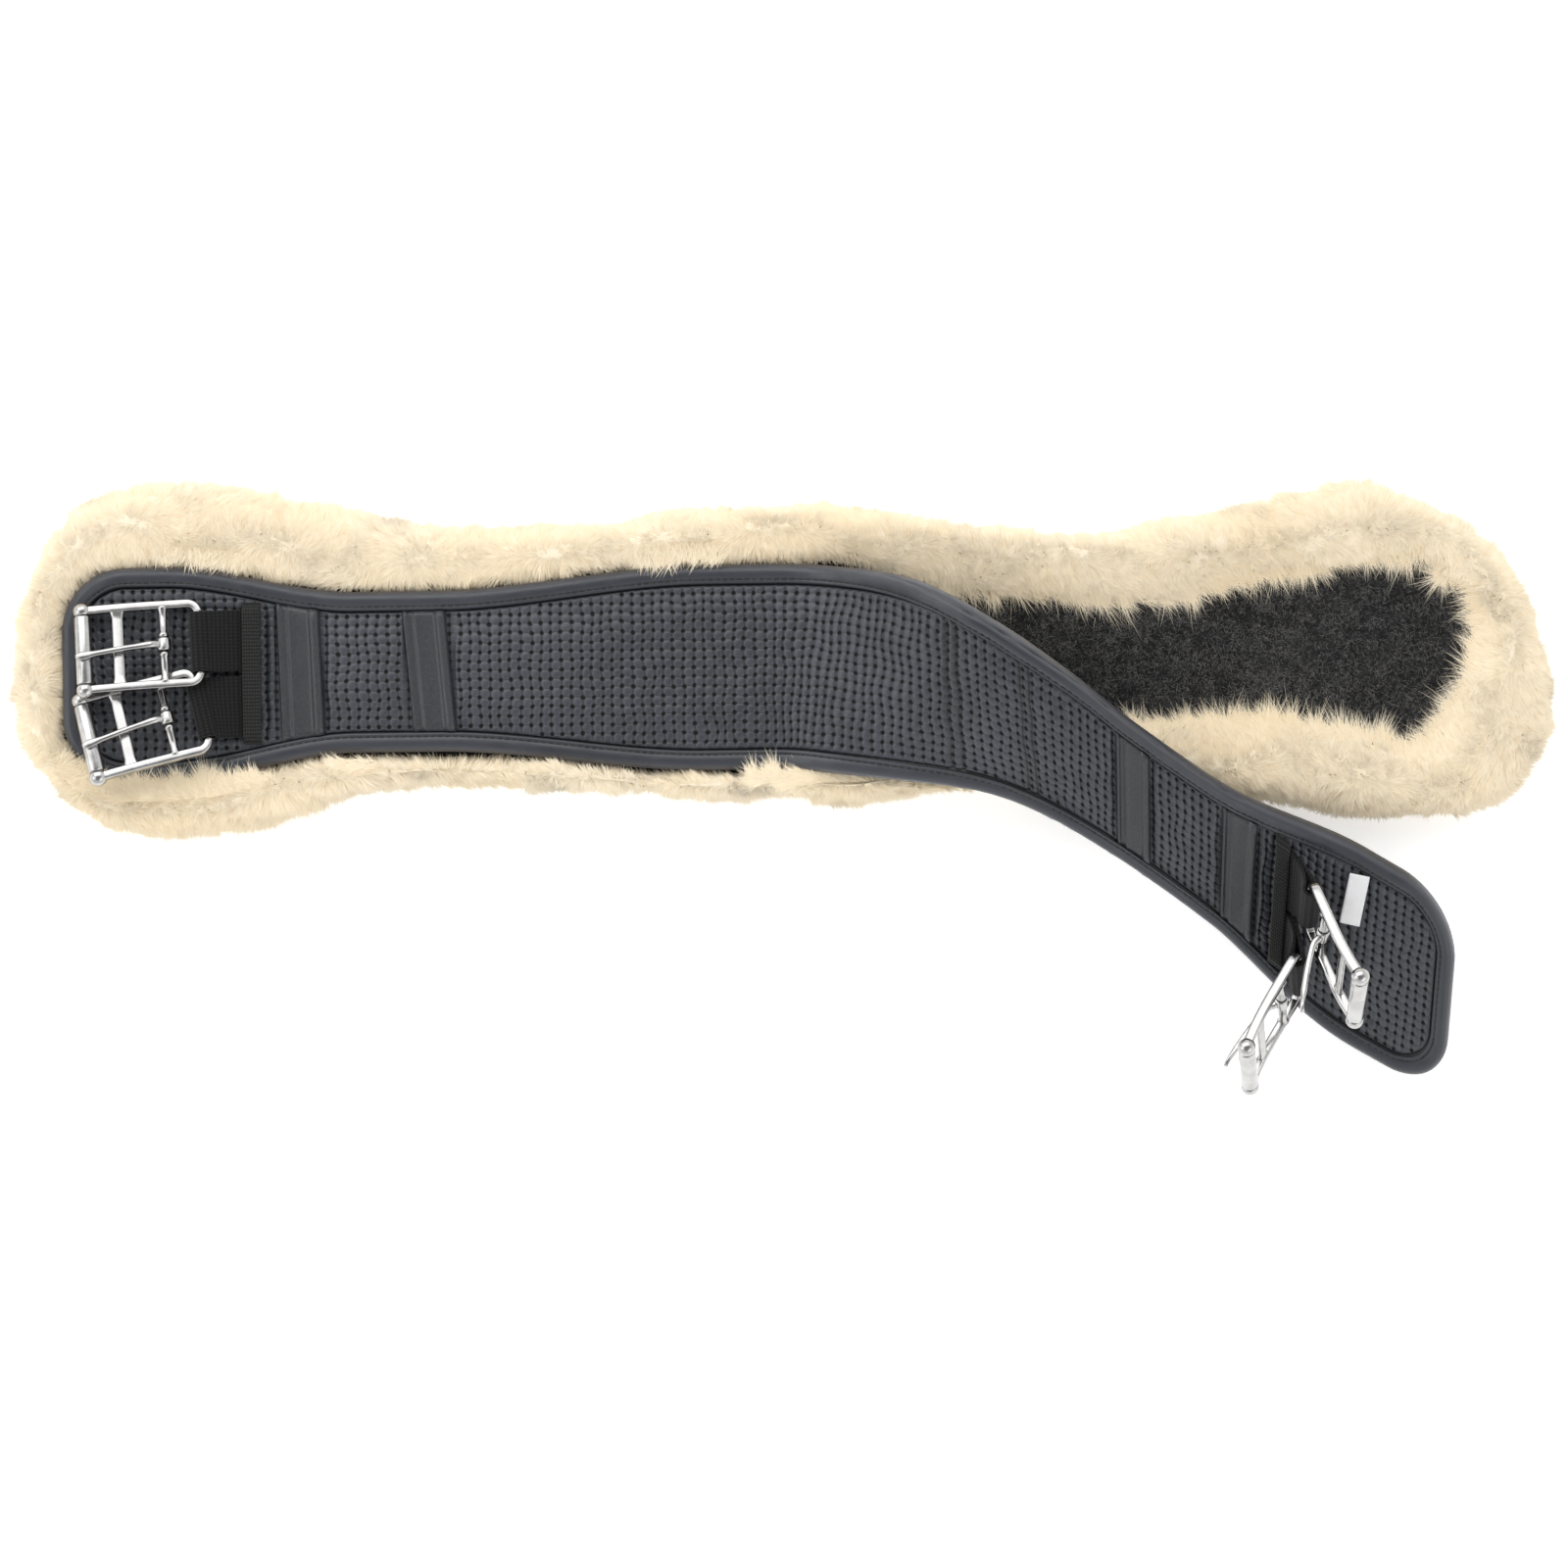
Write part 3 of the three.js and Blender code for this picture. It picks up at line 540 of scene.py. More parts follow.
# Where each band starts along the strap, and its lean.
BANDS = {
    ("left", "outer_cross_band"): (SEWN_FROM["left"] + 93.0, 1.0),
    ("left", "inner_cross_band"): (SEWN_FROM["left"] + 148.0, 2.2),
    ("right", "inner_cross_band"): (SEWN_FROM["right"] - 171.0, 0.0),
    ("right", "outer_cross_band"): (SEWN_FROM["right"] - 113.5, 0.0),
}
SEAMS = (86.0, 90.5, 120.0, 124.5)


def near_band(s):
    """1 where the cover lies under a cross band, and 0 away from it."""
    starts = np.array([start for start, _ in BANDS.values()]).reshape(-1, *[1] * np.ndim(s))
    past = s - starts
    return (smooth(-3.5, -0.5, past) * (1 - smooth(19, 22, past))).max(axis=0)


FIELD_EDGE = 8.9
FIELD_LIP = (0.45, 1.0)
COVER_LEVEL = 2.8
COVER_THICK = 0.75
# How far from the edge, and how high, the plain strip of the cover under the binding runs.
PLAIN_STRIP = np.array([[1.9, 2.1], [1.9, 2.9], [5.0, 2.9], [9.4, 2.6], [9.4, 2.1]])


def cover_level(s, v):
    """The top of the padded cover: crowned between its seams, and flat under what is sewn on it."""
    q, d = edge_distance(s, v), sewn_distance(s)
    crown = 1.75 * smooth(9.6, 25.0, q) + 0.4 * smooth(FIELD_EDGE, FIELD_EDGE + 1.0, q)
    tape = smooth(70, 76, d) * (1 - smooth(87.5, 92, d))
    loops = (1 - smooth(60, 80, d)) * (1 - smooth(28, 32, np.abs(v)))
    crown = crown * (1 - 0.9 * near_band(s)) * (1 - 0.9 * tape) * (1 - 0.75 * loops)
    dip = sum(np.exp(-(((s - at) / 0.8) ** 2)) for at in SEAMS)
    folds = 0.24 * np.sin(s / 5.1) * smooth(20, 60, s) * (1 - smooth(120, 160, s)) * smooth(10, 20, q)
    slack = 0.18 * COVER_WAVES(np.stack([s, v], -1)) * smooth(9.5, 17, q)
    return COVER_LEVEL + crown - dip + folds + slack * (1 - near_band(s))


COVER_WAVES = Waves(24, dims=2)
DRIFT_S, DRIFT_V = Waves(17, dims=2), Waves(17, dims=2)


def lattice(low, high, pitch):
    """Places between low and high with a hole at each whole pitch: on it, on its rim and on the pads."""
    whole = np.arange(math.floor(low / pitch), math.ceil(high / pitch) + 1) * pitch
    places = np.sort((whole[:, None] + pitch * np.array([0.0, 0.14, 0.385, 0.615, 0.86])).ravel())
    return places[(places > low) & (places < high)]


def field_half(s):
    """Half the width of the perforated field at s."""
    d = end_distance(s)
    radius = CORNER - FIELD_EDGE
    into = np.clip(CORNER - d, 0, radius)
    return np.where(d < CORNER, HALF_END - CORNER + np.sqrt(radius**2 - into**2), open_half(d) - FIELD_EDGE)


def make_cover():
    """The perforated field over the padding, and the plain strip round it that the binding covers."""
    low, high = LEFT_END + FIELD_EDGE, RIGHT_END - FIELD_EDGE
    near, far = FIELD_LIP
    middle = lattice(low + far, high - far, PITCH_S)
    rows = np.concatenate([[low, low + near, low + far], middle, [high - far, high - near, high]])
    half = field_half(rows)[:, None]
    inner = np.clip(lattice(-HALF_END, HALF_END, PITCH_V), far - half, half - far)
    v = np.hstack([-half, near - half, inner, half - near, half])
    s = np.broadcast_to(rows[:, None], v.shape)
    flat = np.stack([s, v], -1)

    hole_s, hole_v = np.round(s / PITCH_S) * PITCH_S, np.round(v / PITCH_V) * PITCH_V
    off_s, off_v = np.abs(s - hole_s), np.abs(v - hole_v)
    q = edge_distance(s, v)
    holed = (edge_distance(hole_s, hole_v) > FIELD_EDGE + 1.15).astype(float)
    open_cover = 1 - near_band(s)
    pad = np.sin(np.pi * off_s / PITCH_S) ** 0.7 * (0.4 + 0.6 * np.sin(np.pi * off_v / PITCH_V) ** 0.7)
    raised = 0.55 * pad * smooth(FIELD_EDGE + 0.5, FIELD_EDGE + 1.6, q)
    relief = (raised - 0.95 * holed * np.exp(-(off_s**2 + off_v**2) / 0.3)) * open_cover
    loose = smooth(FIELD_EDGE + 1, FIELD_EDGE + 6, q) * open_cover
    place = s + 0.5 * loose * DRIFT_S(flat), v + 0.4 * loose * DRIFT_V(flat)
    top = on_strap(*place, cover_level(s, v) + relief)

    # Under the field a plain sheet spans from edge to edge.
    count, width = v.shape
    index = np.arange(count * width).reshape(count, width)
    under = np.stack([on_strap(rows, side * half[:, 0], COVER_LEVEL - COVER_THICK) for side in (-1, 1)], 1)
    left = count * width + 2 * np.arange(count)
    right = left + 1
    faces = grid_faces(count, width).tolist()
    faces += np.stack([left[:-1], left[1:], right[1:], right[:-1]], -1).tolist()
    faces += np.stack([index[:-1, 0], left[:-1], left[1:], index[1:, 0]], -1).tolist()
    faces += np.stack([index[:-1, -1], index[1:, -1], right[1:], right[:-1]], -1).tolist()
    for row in (0, -1):
        faces.append(index[row].tolist() + [int(right[row]), int(left[row])])

    path, inward, _ = outline_path()
    strip_q, strip_n = PLAIN_STRIP.T
    ring_s, ring_v = (path[:, i : i + 1] + inward[:, i : i + 1] * strip_q for i in (0, 1))
    ring = on_strap(ring_s, ring_v, np.broadcast_to(strip_n, ring_s.shape))
    faces += (grid_faces(len(path), len(strip_q), True, True) + count * (width + 2)).tolist()

    points = np.vstack([part.reshape(-1, 3) for part in (top, under, ring)])
    under_uv = np.stack([np.repeat(rows, 2), (half * [-1, 1]).ravel()], -1)
    uv = np.vstack([flat.reshape(-1, 2), under_uv, np.stack([ring_s, ring_v], -1).reshape(-1, 2)])
    seam = np.max([1 - smooth(0.2, 1.1, np.abs(s - at)) for at in SEAMS], axis=0)
    rest = np.ones(2 * count + ring_s.size)
    values = {
        "holed": np.concatenate([holed.ravel(), 0 * rest]),
        "edge": np.concatenate([q.ravel(), FIELD_EDGE * rest]),
        "seam": np.concatenate([seam.ravel(), 0 * rest]),
    }
    cover = build("strap_cover", points, faces, WEAVE, uv=uv, values=values, weld=True)
    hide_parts("left_top_cover", "right_top_cover")
    return across_fold(cover)


def strap_grid(inset, spacing, edge_steps, inner):
    """s and v of a grid over the strap whose outer columns keep their distance from the edge."""
    s, half = strap_rows(inset, spacing)
    steps = np.array(edge_steps)
    core = np.linspace(-1, 1, inner)[1:-1]
    left = -half[:, None] + steps
    middle = (half[:, None] - steps[-1]) * core
    right = half[:, None] - steps[::-1]
    v = np.hstack([left, middle, right])
    return np.broadcast_to(s[:, None], v.shape), v


def outline_path():
    """The strap's outline, its inward direction and its length so far: up one side, round and back."""
    s, half = strap_rows(0.0, 1.8)
    path = np.vstack([np.stack([s, half], -1), np.stack([s, -half], -1)[::-1]])
    path = path[np.linalg.norm(path - np.roll(path, 1, axis=0), axis=1) > 0.05]
    run = unit(np.roll(path, -1, axis=0) - np.roll(path, 1, axis=0))
    return path, np.stack([run[:, 1], -run[:, 0]], -1), lengths_along(path)


make_cover()


# ---- The underside of the strap ----


def make_sheet(name, inset, levels, material, nodes, ripple):
    s, v = strap_grid(inset, 3.0, [0, 2.5], 14)
    wave = ripple * COVER_WAVES(np.stack([s * 1.7, v * 1.7], -1))
    low, high = levels
    points, faces = shell(on_strap(s, v, high + 0 * wave), on_strap(s, v, low + wave))
    sheet = build(name, points, faces, material)
    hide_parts(*nodes)
    return across_fold(sheet)


BACKING_NODES = ["left_backing", "right_backing"]
HOOK_NODES = ["left_hook_patch", "right_hook_patch"]
make_sheet("strap_backing", 1.9, (-3.5, -2.8), BACKING, BACKING_NODES, 0.08)
make_sheet("strap_hook_patch", 9.0, (-4.8, -4.0), HOOKS, HOOK_NODES, 0.1)


# ---- The rolled binding and its stitches ----


# How far in from the edge a point of the binding's section lies, and its height.
BINDING_SECTION = np.array(
    [
        [8.35, 3.55], [8.4, 4.1], [8.15, 4.55], [7.6, 4.76], [7.15, 4.7], [6.7, 4.42], [6.25, 4.76],
        [5.7, 5.0], [4.8, 5.22], [3.8, 5.25], [2.8, 5.08], [1.8, 4.55], [1.15, 3.85], [0.75, 3.4],
        [0.55, 3.0], [0.4, 2.65], [0.3, 2.3], [0.05, 1.0], [0.05, -1.0], [0.35, -2.5], [1.0, -3.7],
        [1.9, -4.5], [3.1, -4.9], [5.0, -4.98], [7.2, -4.9], [8.1, -4.7], [8.35, -4.3], [8.0, -4.0],
        [5.0, -3.9], [1.7, -3.8],
        [1.35, -2.5], [1.3, 0.0], [1.35, 2.3], [1.7, 3.4], [5.0, 3.5], [7.9, 3.45],
    ]
)


def make_binding():
    path, inward, length = outline_path()
    at = path[:, :1]
    q, n = BINDING_SECTION.T
    swell = 1 + 0.025 * COVER_WAVES(path * 2.0)[:, None]
    # On the free half it is creased along its shoulder, where it bends over the layers' edge.
    free = smooth(40, 90, at) * (1 - smooth(215, 260, at))
    wave = 0.55 + 0.45 * COVER_WAVES(path * 3.1)[:, None]
    shoulder = (q < 1.5) & (n > 0)
    crease = 0.75 * free * wave * np.where(shoulder, np.exp(-(((n - 3.1) / 0.45) ** 2)), 0)
    # The buckles press its crown down at the left end.
    pressed = 0.1 * (1 - smooth(-290, -272, at)) * (1 - smooth(5.0, 6.2, q)) * (n > 2)
    s, v = (path[:, i : i + 1] + inward[:, i : i + 1] * (q + crease) for i in (0, 1))
    rings = on_strap(s, v, n * (swell - pressed) - 0.5 * crease)
    uv = np.stack(np.broadcast_arrays(length[:, None], q), -1)
    faces = grid_faces(len(path), len(q), True, True)
    binding = build("strap_binding", rings, faces, BINDING, uv=uv)
    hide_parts("left_edge_binding", "right_edge_binding")
    return across_fold(binding)


# A thread's sides, and its sections: how far along it, and how full.
THREAD_SIDES = 6
THREAD_SECTION = [(0.0, 0.25), (0.12, 0.8), (0.3, 1.0), (0.7, 1.0), (0.88, 0.8), (1.0, 0.25)]
THREAD_LEVEL = 4.66
STITCH_PITCH = 3.1
STITCH_HALF = 1.15


def capsules(starts, ends, ups, radius):
    """Points and faces of many short threads."""
    along = unit(ends - starts)
    side = unit(np.cross(ups, along))
    up = np.cross(along, side)
    angles = 2 * np.pi * np.arange(THREAD_SIDES)[:, None] / THREAD_SIDES
    turn = side[:, None] * np.cos(angles) + up[:, None] * np.sin(angles)
    rings = []
    for share, size in THREAD_SECTION:
        middle = starts + (ends - starts) * share + up * radius * (size - 1) * 1.2
        rings.append(middle[:, None] + radius * size * turn)
    one = grid_faces(len(rings), THREAD_SIDES, loop_cols=True)
    caps = np.array([[3, 2, 1, 0], [5, 4, 3, 0]])
    one = np.vstack([one, caps, caps[:, ::-1] + (len(rings) - 1) * THREAD_SIDES])
    per = len(rings) * THREAD_SIDES
    faces = (np.arange(len(starts))[:, None, None] * per + one[None]).reshape(-1, 4)
    return np.stack(rings, axis=1).reshape(-1, 3), faces


def make_stitches():
    path, inward, length = outline_path()
    total = length[-1] + np.linalg.norm(path[0] - path[-1])
    lines = np.hstack([path, inward])
    lines = np.vstack([lines, lines[:1]])
    count = int(total / STITCH_PITCH)
    mids = np.arange(count) * total / count

    def place(distance):
        s, v, in_s, in_v = look_up(distance % total, np.append(length, total), lines).T
        return s + in_s * STITCHES_AT, v + in_v * STITCHES_AT

    starts, ends = (on_strap(*place(mids + step), THREAD_LEVEL) for step in (-STITCH_HALF, STITCH_HALF))
    points, faces = capsules(starts, ends, axes(place(mids)[0])[2], 0.3)
    return across_fold(build("binding_stitches", points, faces, THREAD))


make_binding()
make_stitches()


# ---- What is sewn across the strap ----

# Distance along the band from its stitched ridge to its roll, and the height of its face.
BAND_PROFILE = np.array(
    [
        [0.0, 3.5], [0.2, 4.4], [0.6, 4.95], [1.2, 5.05], [1.8, 4.8], [2.2, 4.3], [2.8, 4.0], [4.0, 4.0],
        [4.6, 4.25], [5.1, 4.75], [5.7, 4.9], [6.3, 4.75], [7.0, 4.62], [9.0, 4.6], [12.4, 4.62],
        [13.4, 4.75], [13.9, 5.2], [14.5, 5.85], [15.3, 6.25], [16.4, 6.3], [17.3, 5.95], [18.0, 5.2],
        [18.4, 4.3], [18.5, 3.5],
    ]
)


def make_band(half, kind):
    start, lean = BANDS[half, kind]
    shares = np.linspace(-1, 1, 25)
    x, top = BAND_PROFILE.T[:, :, None]
    s = start + x - lean * shares
    v = (open_half(end_distance(s)) - LIP - 0.3) * shares
    sag = 0.12 * COVER_WAVES(np.stack([s * 1.3, v * 1.3], -1)) * smooth(5, 9, x)
    tuck = 1 - 0.4 * smooth(0.93, 1.0, np.abs(shares))
    top = on_strap(s, v, 3.45 + (top - 3.45 + sag) * tuck)
    points, faces = shell(top, on_strap(s, v, np.full_like(s, 3.35)))
    band = build(f"{half}_{kind}_leather", points, faces, LEATHER)
    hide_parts(f"{half}_{kind}")
    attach(band, f"strap_{half}")


def make_tape(half, side):
    """The tape arches over the webbing tails and lies on the cover beside them."""
    d = np.linspace(TAPE_NEAR, TAPE_FAR, 12)[:, None]
    v = np.linspace(-TAPE_REACH, TAPE_REACH, 61)
    rounding = 0.35 * np.clip(1 - np.abs(np.linspace(-1, 1, 12)) ** 8, 0, 1)[:, None]
    level = 3.95 + 4.0 * (1 - smooth(26.6, 29.3, np.abs(v))) + rounding
    s = side * (abs(SEWN_FROM[half]) - d)
    points, faces = shell(on_strap(s, v, level + 0.6), on_strap(s, v, level - 0.25))
    uv = np.stack(np.broadcast_arrays(v, d), -1).reshape(-1, 2)
    tape = build(f"{half}_tape", points, faces, TAPE, uv=np.vstack([uv, uv]))
    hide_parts(f"{half}_cross_tape")
    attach(tape, f"strap_{half}")


for half_name, kind_name in BANDS:
    make_band(half_name, kind_name)
for side_sign, half_name in SIDES.items():
    make_tape(half_name, side_sign)


# ---- Buckles ----

# Each buckle's end and side of the strap, its loop bar's middle, the directions out of the loop and
# across, and how far its tongue stands open in degrees.
BUCKLES = {
    "left_upper": (-1, 1, (-248.6, 7.2, 33.2), (-0.995, -0.066, 0.078), (-0.082, 0.971, -0.224), 0),
    "left_lower": (-1, -1, (-247.6, -21.3, 33.6), (-0.966, -0.248, 0.073), (-0.258, 0.937, -0.235), 0),
    "right_upper": (1, 1, (221.8, -103.8, 49), (0.29, -0.79, 0.54), (-0.05, 0.56, 0.83), 30),
    "right_lower": (1, -1, (218.2, -133.5, 36), (-0.51, -0.765, 0.39), (-0.14, 0.53, 0.838), 8),
}
ARM_SIDE = 17.4
ARM_CORNER = 4.6
PIVOT_AT = 15.0
REST_AT = 34.2
ROLLER_AT = 49.0
TONGUE_LEAN = -3.4
BAR_END = 16.8
# Half outlines of what is turned: radius, and place across the buckle.
LOOP_BAR = [(1.9, -14.0), (1.95, -13.4), (1.85, 0)]
PIVOT_BAR = [
    (2.7, -16.8), (2.2, -15.6), (1.75, -13.8), (1.75, -5.2), (2.15, -4.9), (2.15, -3.5), (1.65, -3.3),
]
BALL_AXLE = [
    (0.4, -20.9), (1.5, -20.7), (2.5, -20.2), (3.35, -19.3), (3.75, -18.4), (3.85, -17.4), (3.7, -16.2),
    (3.4, -15.35), (1.8, -15.3),
]
ROLLER = [(2.25, -14.9), (3.2, -14.9), (3.5, -14.7), (3.6, -14.2), (3.62, 0.0)]
EYE = [(2.0, -2.7), (2.6, -2.75), (2.9, -2.4), (3.0, -1.7)]


def buckle_axes(name):
    side, _, bar, out, across, _ = BUCKLES[name]
    y = unit(across)
    x = unit(np.array(out) - y * np.dot(out, y))
    return np.array(bar, float), np.stack([x, y, np.cross(x, y) * side])


def bow(x):
    """How far the frame curves down at x."""
    return -2.0 * (np.maximum(np.asarray(x, float) - 24, 0) / 25) ** 2


def curve_through(points, count):
    """A smooth curve through points, evenly spaced along it."""
    points = np.asarray(points, float)
    ends = np.vstack([2 * points[0] - points[1], points, 2 * points[-1] - points[-2]])
    t = np.arange(24)[:, None] / 24
    fine = [spline(*four, t) for four in zip(ends, ends[1:], ends[2:], ends[3:])]
    fine = np.vstack(fine + [points[-1:]])
    length = lengths_along(fine)
    return look_up(np.linspace(0, length[-1], count), length, fine)


def swept(path, section, widths, heights):
    """Rings of a section (across, up) swept along a path, scaled by widths and heights."""
    run = unit(np.gradient(path, axis=0))
    side = unit(np.cross((0, 0, 1), run))
    across = side[:, None] * (section[None, :, :1] * widths[:, None, None])
    upwards = np.cross(run, side)[:, None] * (section[None, :, 1:] * heights[:, None, None])
    return path[:, None] + across + upwards


def rounded_section(width, height, power, count):
    """A closed section between an oval (power 2) and a box (high power)."""
    t = 2 * np.pi * (np.arange(count) + 0.5) / count
    x = np.sign(np.cos(t)) * np.abs(np.cos(t)) ** (2 / power) * width / 2
    y = np.sign(np.sin(t)) * np.abs(np.sin(t)) ** (2 / power) * height / 2
    return np.stack([x, y], -1)


def lathe(outline, at, level, segments):
    """Rings of an outline (radius, y) turned round the Y axis through x = at, z = level."""
    outline = np.asarray(outline, float)
    angles = 2 * np.pi * np.arange(segments) / segments
    ring = np.stack([np.cos(angles), 0 * angles, np.sin(angles)], -1)
    return outline[:, None, :1] * ring + np.array([at, 0, level]) + outline[:, None, 1:] * np.array([0, 1, 0])


def mirrored(half):
    """An outline (radius, y) that is given up to its middle, made whole."""
    return half + [(radius, -y) for radius, y in half[::-1] if y]


def rod(half, at, level, segments=20):
    """A solid bar along Y with a mirrored outline."""
    outline = mirrored([(0.02, half[0][1])] + half)
    return capped(lathe(outline, at, level, segments))


def tube(half, at, level, segments):
    """A ring along Y with a mirrored closed outline."""
    rings = lathe(mirrored(half), at, level, segments)
    return rings.reshape(-1, 3), grid_faces(*rings.shape[:2], loop_rows=True, loop_cols=True).tolist()


def gather(parts):
    """Joins several closed solids' points and faces into one mesh."""
    points, faces, base = [], [], 0
    for part_points, part_faces in parts:
        points.append(np.asarray(part_points))
        faces.extend([[base + i for i in face] for face in part_faces])
        base += len(part_points)
    return np.vstack(points), faces


def place_buckle(name, kind, parts):
    bar, basis = buckle_axes(name)
    points, faces = gather(parts)
    piece = build(f"{name}_{kind}_steel", points @ basis + bar, faces, STEEL)
    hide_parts(f"{name}_buckle_{kind}")
    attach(piece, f"{name}_{kind}")


def frame_parts():
    """The two bowed arms, the loop bar, the pivot bar, the flat rest bar and the axle with its balls."""
    section = rounded_section(3.6, 4.1, 5, 24)
    share = np.linspace(0, 1, 70)
    parts = []
    for hand in (1, -1):
        arm_x = (ROLLER_AT + 0.6, 42, 33, 24, 12, ARM_CORNER)
        straight = [[x, hand * ARM_SIDE, float(bow(x))] for x in arm_x]
        turn = [
            [ARM_CORNER * (1 - math.cos(a)), hand * (ARM_SIDE - ARM_CORNER * (1 - math.sin(a))), 0.0]
            for a in np.radians([72, 54, 36, 18, 4])
        ]
        path = curve_through(straight + turn, len(share))
        rings = swept(path, section, 1 - 0.08 * smooth(0.8, 1, share), 1 - 0.12 * smooth(0.75, 1, share))
        parts.append(capped(rings))
    y = np.linspace(-1, 1, 30)
    flat_bar = np.stack([np.full(30, REST_AT), BAR_END * y, np.full(30, float(bow(REST_AT)))], -1)
    flare = 1 + 0.35 * smooth(0.78, 1, np.abs(y))
    parts += [rod(LOOP_BAR, 0, 0), rod(PIVOT_BAR, PIVOT_AT, 0)]
    parts.append(capped(swept(flat_bar, rounded_section(4.8, 2.3, 3, 20), flare, flare)))
    parts.append(rod(BALL_AXLE, ROLLER_AT, float(bow(ROLLER_AT)), 28))
    return parts


def roller_parts():
    return [tube(ROLLER, ROLLER_AT, float(bow(ROLLER_AT)), 36)]


def tongue_parts(opened):
    """The eye round the pivot bar, and the shank that bows up and lies on the roller."""
    top = float(bow(ROLLER_AT)) + 3.4
    reach = ROLLER_AT - PIVOT_AT
    # How far out, what share of the lean, and how high.
    stations = [
        (2.3, 0, 1.0), (5.5, 0.1, 3.1), (11, 0.28, 3.7), (18, 0.48, 3.8), (27, 0.8, top + 2.2),
        (reach, 1, top + 1.85), (reach + 3.0, 1.1, top + 1.3),
    ]
    share = np.linspace(0, 1, 48)
    path = curve_through(np.array(stations) * [1, TONGUE_LEAN, 1], len(share))
    widths = 1.25 + ramps([(-0.3, 0, 0.35), (0.45, 0.74, 0.93), (-0.55, 0.94, 1.0)], share)
    heights = 1.2 + ramps([(-0.2, 0, 0.3), (-0.35, 0.72, 0.9)], share)
    shank = capped(swept(path, rounded_section(2.6, 2.7, 2.6, 20), widths, heights))
    cos, sin = math.cos(math.radians(opened)), math.sin(math.radians(opened))
    turned = np.array([[cos, 0, sin], [0, 1, 0], [-sin, 0, cos]])
    return [(points @ turned + [PIVOT_AT, 0, 0], faces) for points, faces in (tube(EYE, 0, 0, 28), shank)]


for buckle_name, buckle in BUCKLES.items():
    place_buckle(buckle_name, "frame", frame_parts())
    place_buckle(buckle_name, "roller", roller_parts())
    place_buckle(buckle_name, "tongue", tongue_parts(buckle[5]))


# ---- Elastic loops ----


def make_loop(name):
    """A strip of webbing from under the tape, round the buckle's loop bar and back."""
    side, v, *_ = BUCKLES[name]
    s = side * (abs(SEWN_FROM[SIDES[side]]) - TAPE_NEAR)
    along, across, up = axes(s)
    out = along * side
    origin = on_strap(s, v * LOOP_SIDE, 3.6 + WEB_LAYER + 0.2)
    bar, (_, bar_across, _) = buckle_axes(name)
    knee = origin + out * 8 + up * 3.5
    t = np.linspace(0, 1, 200)[:, None]
    run = origin * (1 - t) ** 2 + 2 * knee * t * (1 - t) + bar * t**2
    steps = lengths_along(run)
    length = steps[-1]
    last = unit(bar - knee)
    last_out = unit(last - bar_across * np.dot(last, bar_across))

    # The folded strip's middle line, seen from its edge: out along the lower layer, round and back.
    turn = 2.05 + 0.5 + WEB_LAYER / 2
    lower = np.array([[-6.5, -0.85], [0.4, -0.85], [3, -0.85], [length * 0.5, -0.95], [length * 0.74, -1.8]])
    angles = np.radians(np.linspace(-105, 105, 22))
    bend = np.stack([length + turn * np.cos(angles), turn * np.sin(angles)], -1)
    strip = np.vstack([lower, bend, lower[::-1] * [1, -1]])
    strip = curve_through(np.column_stack([strip, np.zeros(len(strip))]), 150)[:, :2]

    def placed(a, b, w):
        share = np.clip(a / length, 0, 1)
        at_bar = (a > length - turn)[..., None]
        mixed = unit(across + (bar_across - across) * (share**1.6)[..., None])
        line = np.where(at_bar, bar_across, mixed)
        on_run = look_up(share * length, steps, run) + out * np.minimum(a, 0)[..., None]
        middle = np.where(at_bar, bar + last_out * (a - length)[..., None], on_run)
        direction = unit(look_up(share * length, steps, np.gradient(run, axis=0)))
        ahead = np.where(at_bar, last_out, np.where((a > 0)[..., None], direction, out))
        return middle + unit(np.cross(ahead, line)) * b[..., None] + line * w[..., None]

    tangents = unit(np.gradient(strip, axis=0))
    w, offset = rounded_section(WEB_WIDTH, WEB_LAYER, 9, 40).T
    a = strip[:, :1] - tangents[:, 1:] * offset
    b = strip[:, 1:] + tangents[:, :1] * offset
    points, faces = capped(placed(a, b, np.broadcast_to(w, a.shape)))
    uv = np.stack(np.broadcast_arrays(lengths_along(strip)[:, None], w), -1)
    loop = build(f"{name}_elastic", points, faces, ELASTIC, uv=uv)
    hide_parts(f"{name}_elastic_loop")
    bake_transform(loop)


for buckle_name in BUCKLES:
    make_loop(buckle_name)


# ---- The blank label ----

LABEL = {"from_end": 44, "v": 23.5, "level": 6.4, "half_long": 11.5, "half_wide": 4.3}


def make_label():
    s = SEWN_FROM["right"] - LABEL["from_end"]
    along, across, up = axes(s)
    down = unit(-0.9 * across - 0.11 * along + 0.05 * up)
    face = unit(up - down * np.dot(up, down))
    side = np.cross(face, down)
    middle = on_strap(s, LABEL["v"], LABEL["level"])
    long, wide = LABEL["half_long"], LABEL["half_wide"]
    x, y = np.meshgrid(np.linspace(-long, long, 24), np.linspace(-wide, wide, 10), indexing="ij")
    lift = 0.9 * np.cos(x / long * 1.3) - 0.5 + 0.25 * np.sin(x / 4.0) * y / wide
    surface = middle + x[..., None] * down + y[..., None] * side + lift[..., None] * face
    points, faces = shell(surface + face * 0.12, surface - face * 0.12)
    uv = np.stack([x, y], -1).reshape(-1, 2)
    label = build("blank_label", points, faces, LABEL_RIBBON, uv=np.vstack([uv, uv]))
    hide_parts("care_label")
    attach(label, "strap_right")


make_label()


# ---- The sheepskin liner ----

POCKET_GAP = 2.5
POCKET_CORNER = CORNER + 2
POCKET_RIGHT = 298.0
SIDE_STEPS = 150
CORNER_STEPS = 26
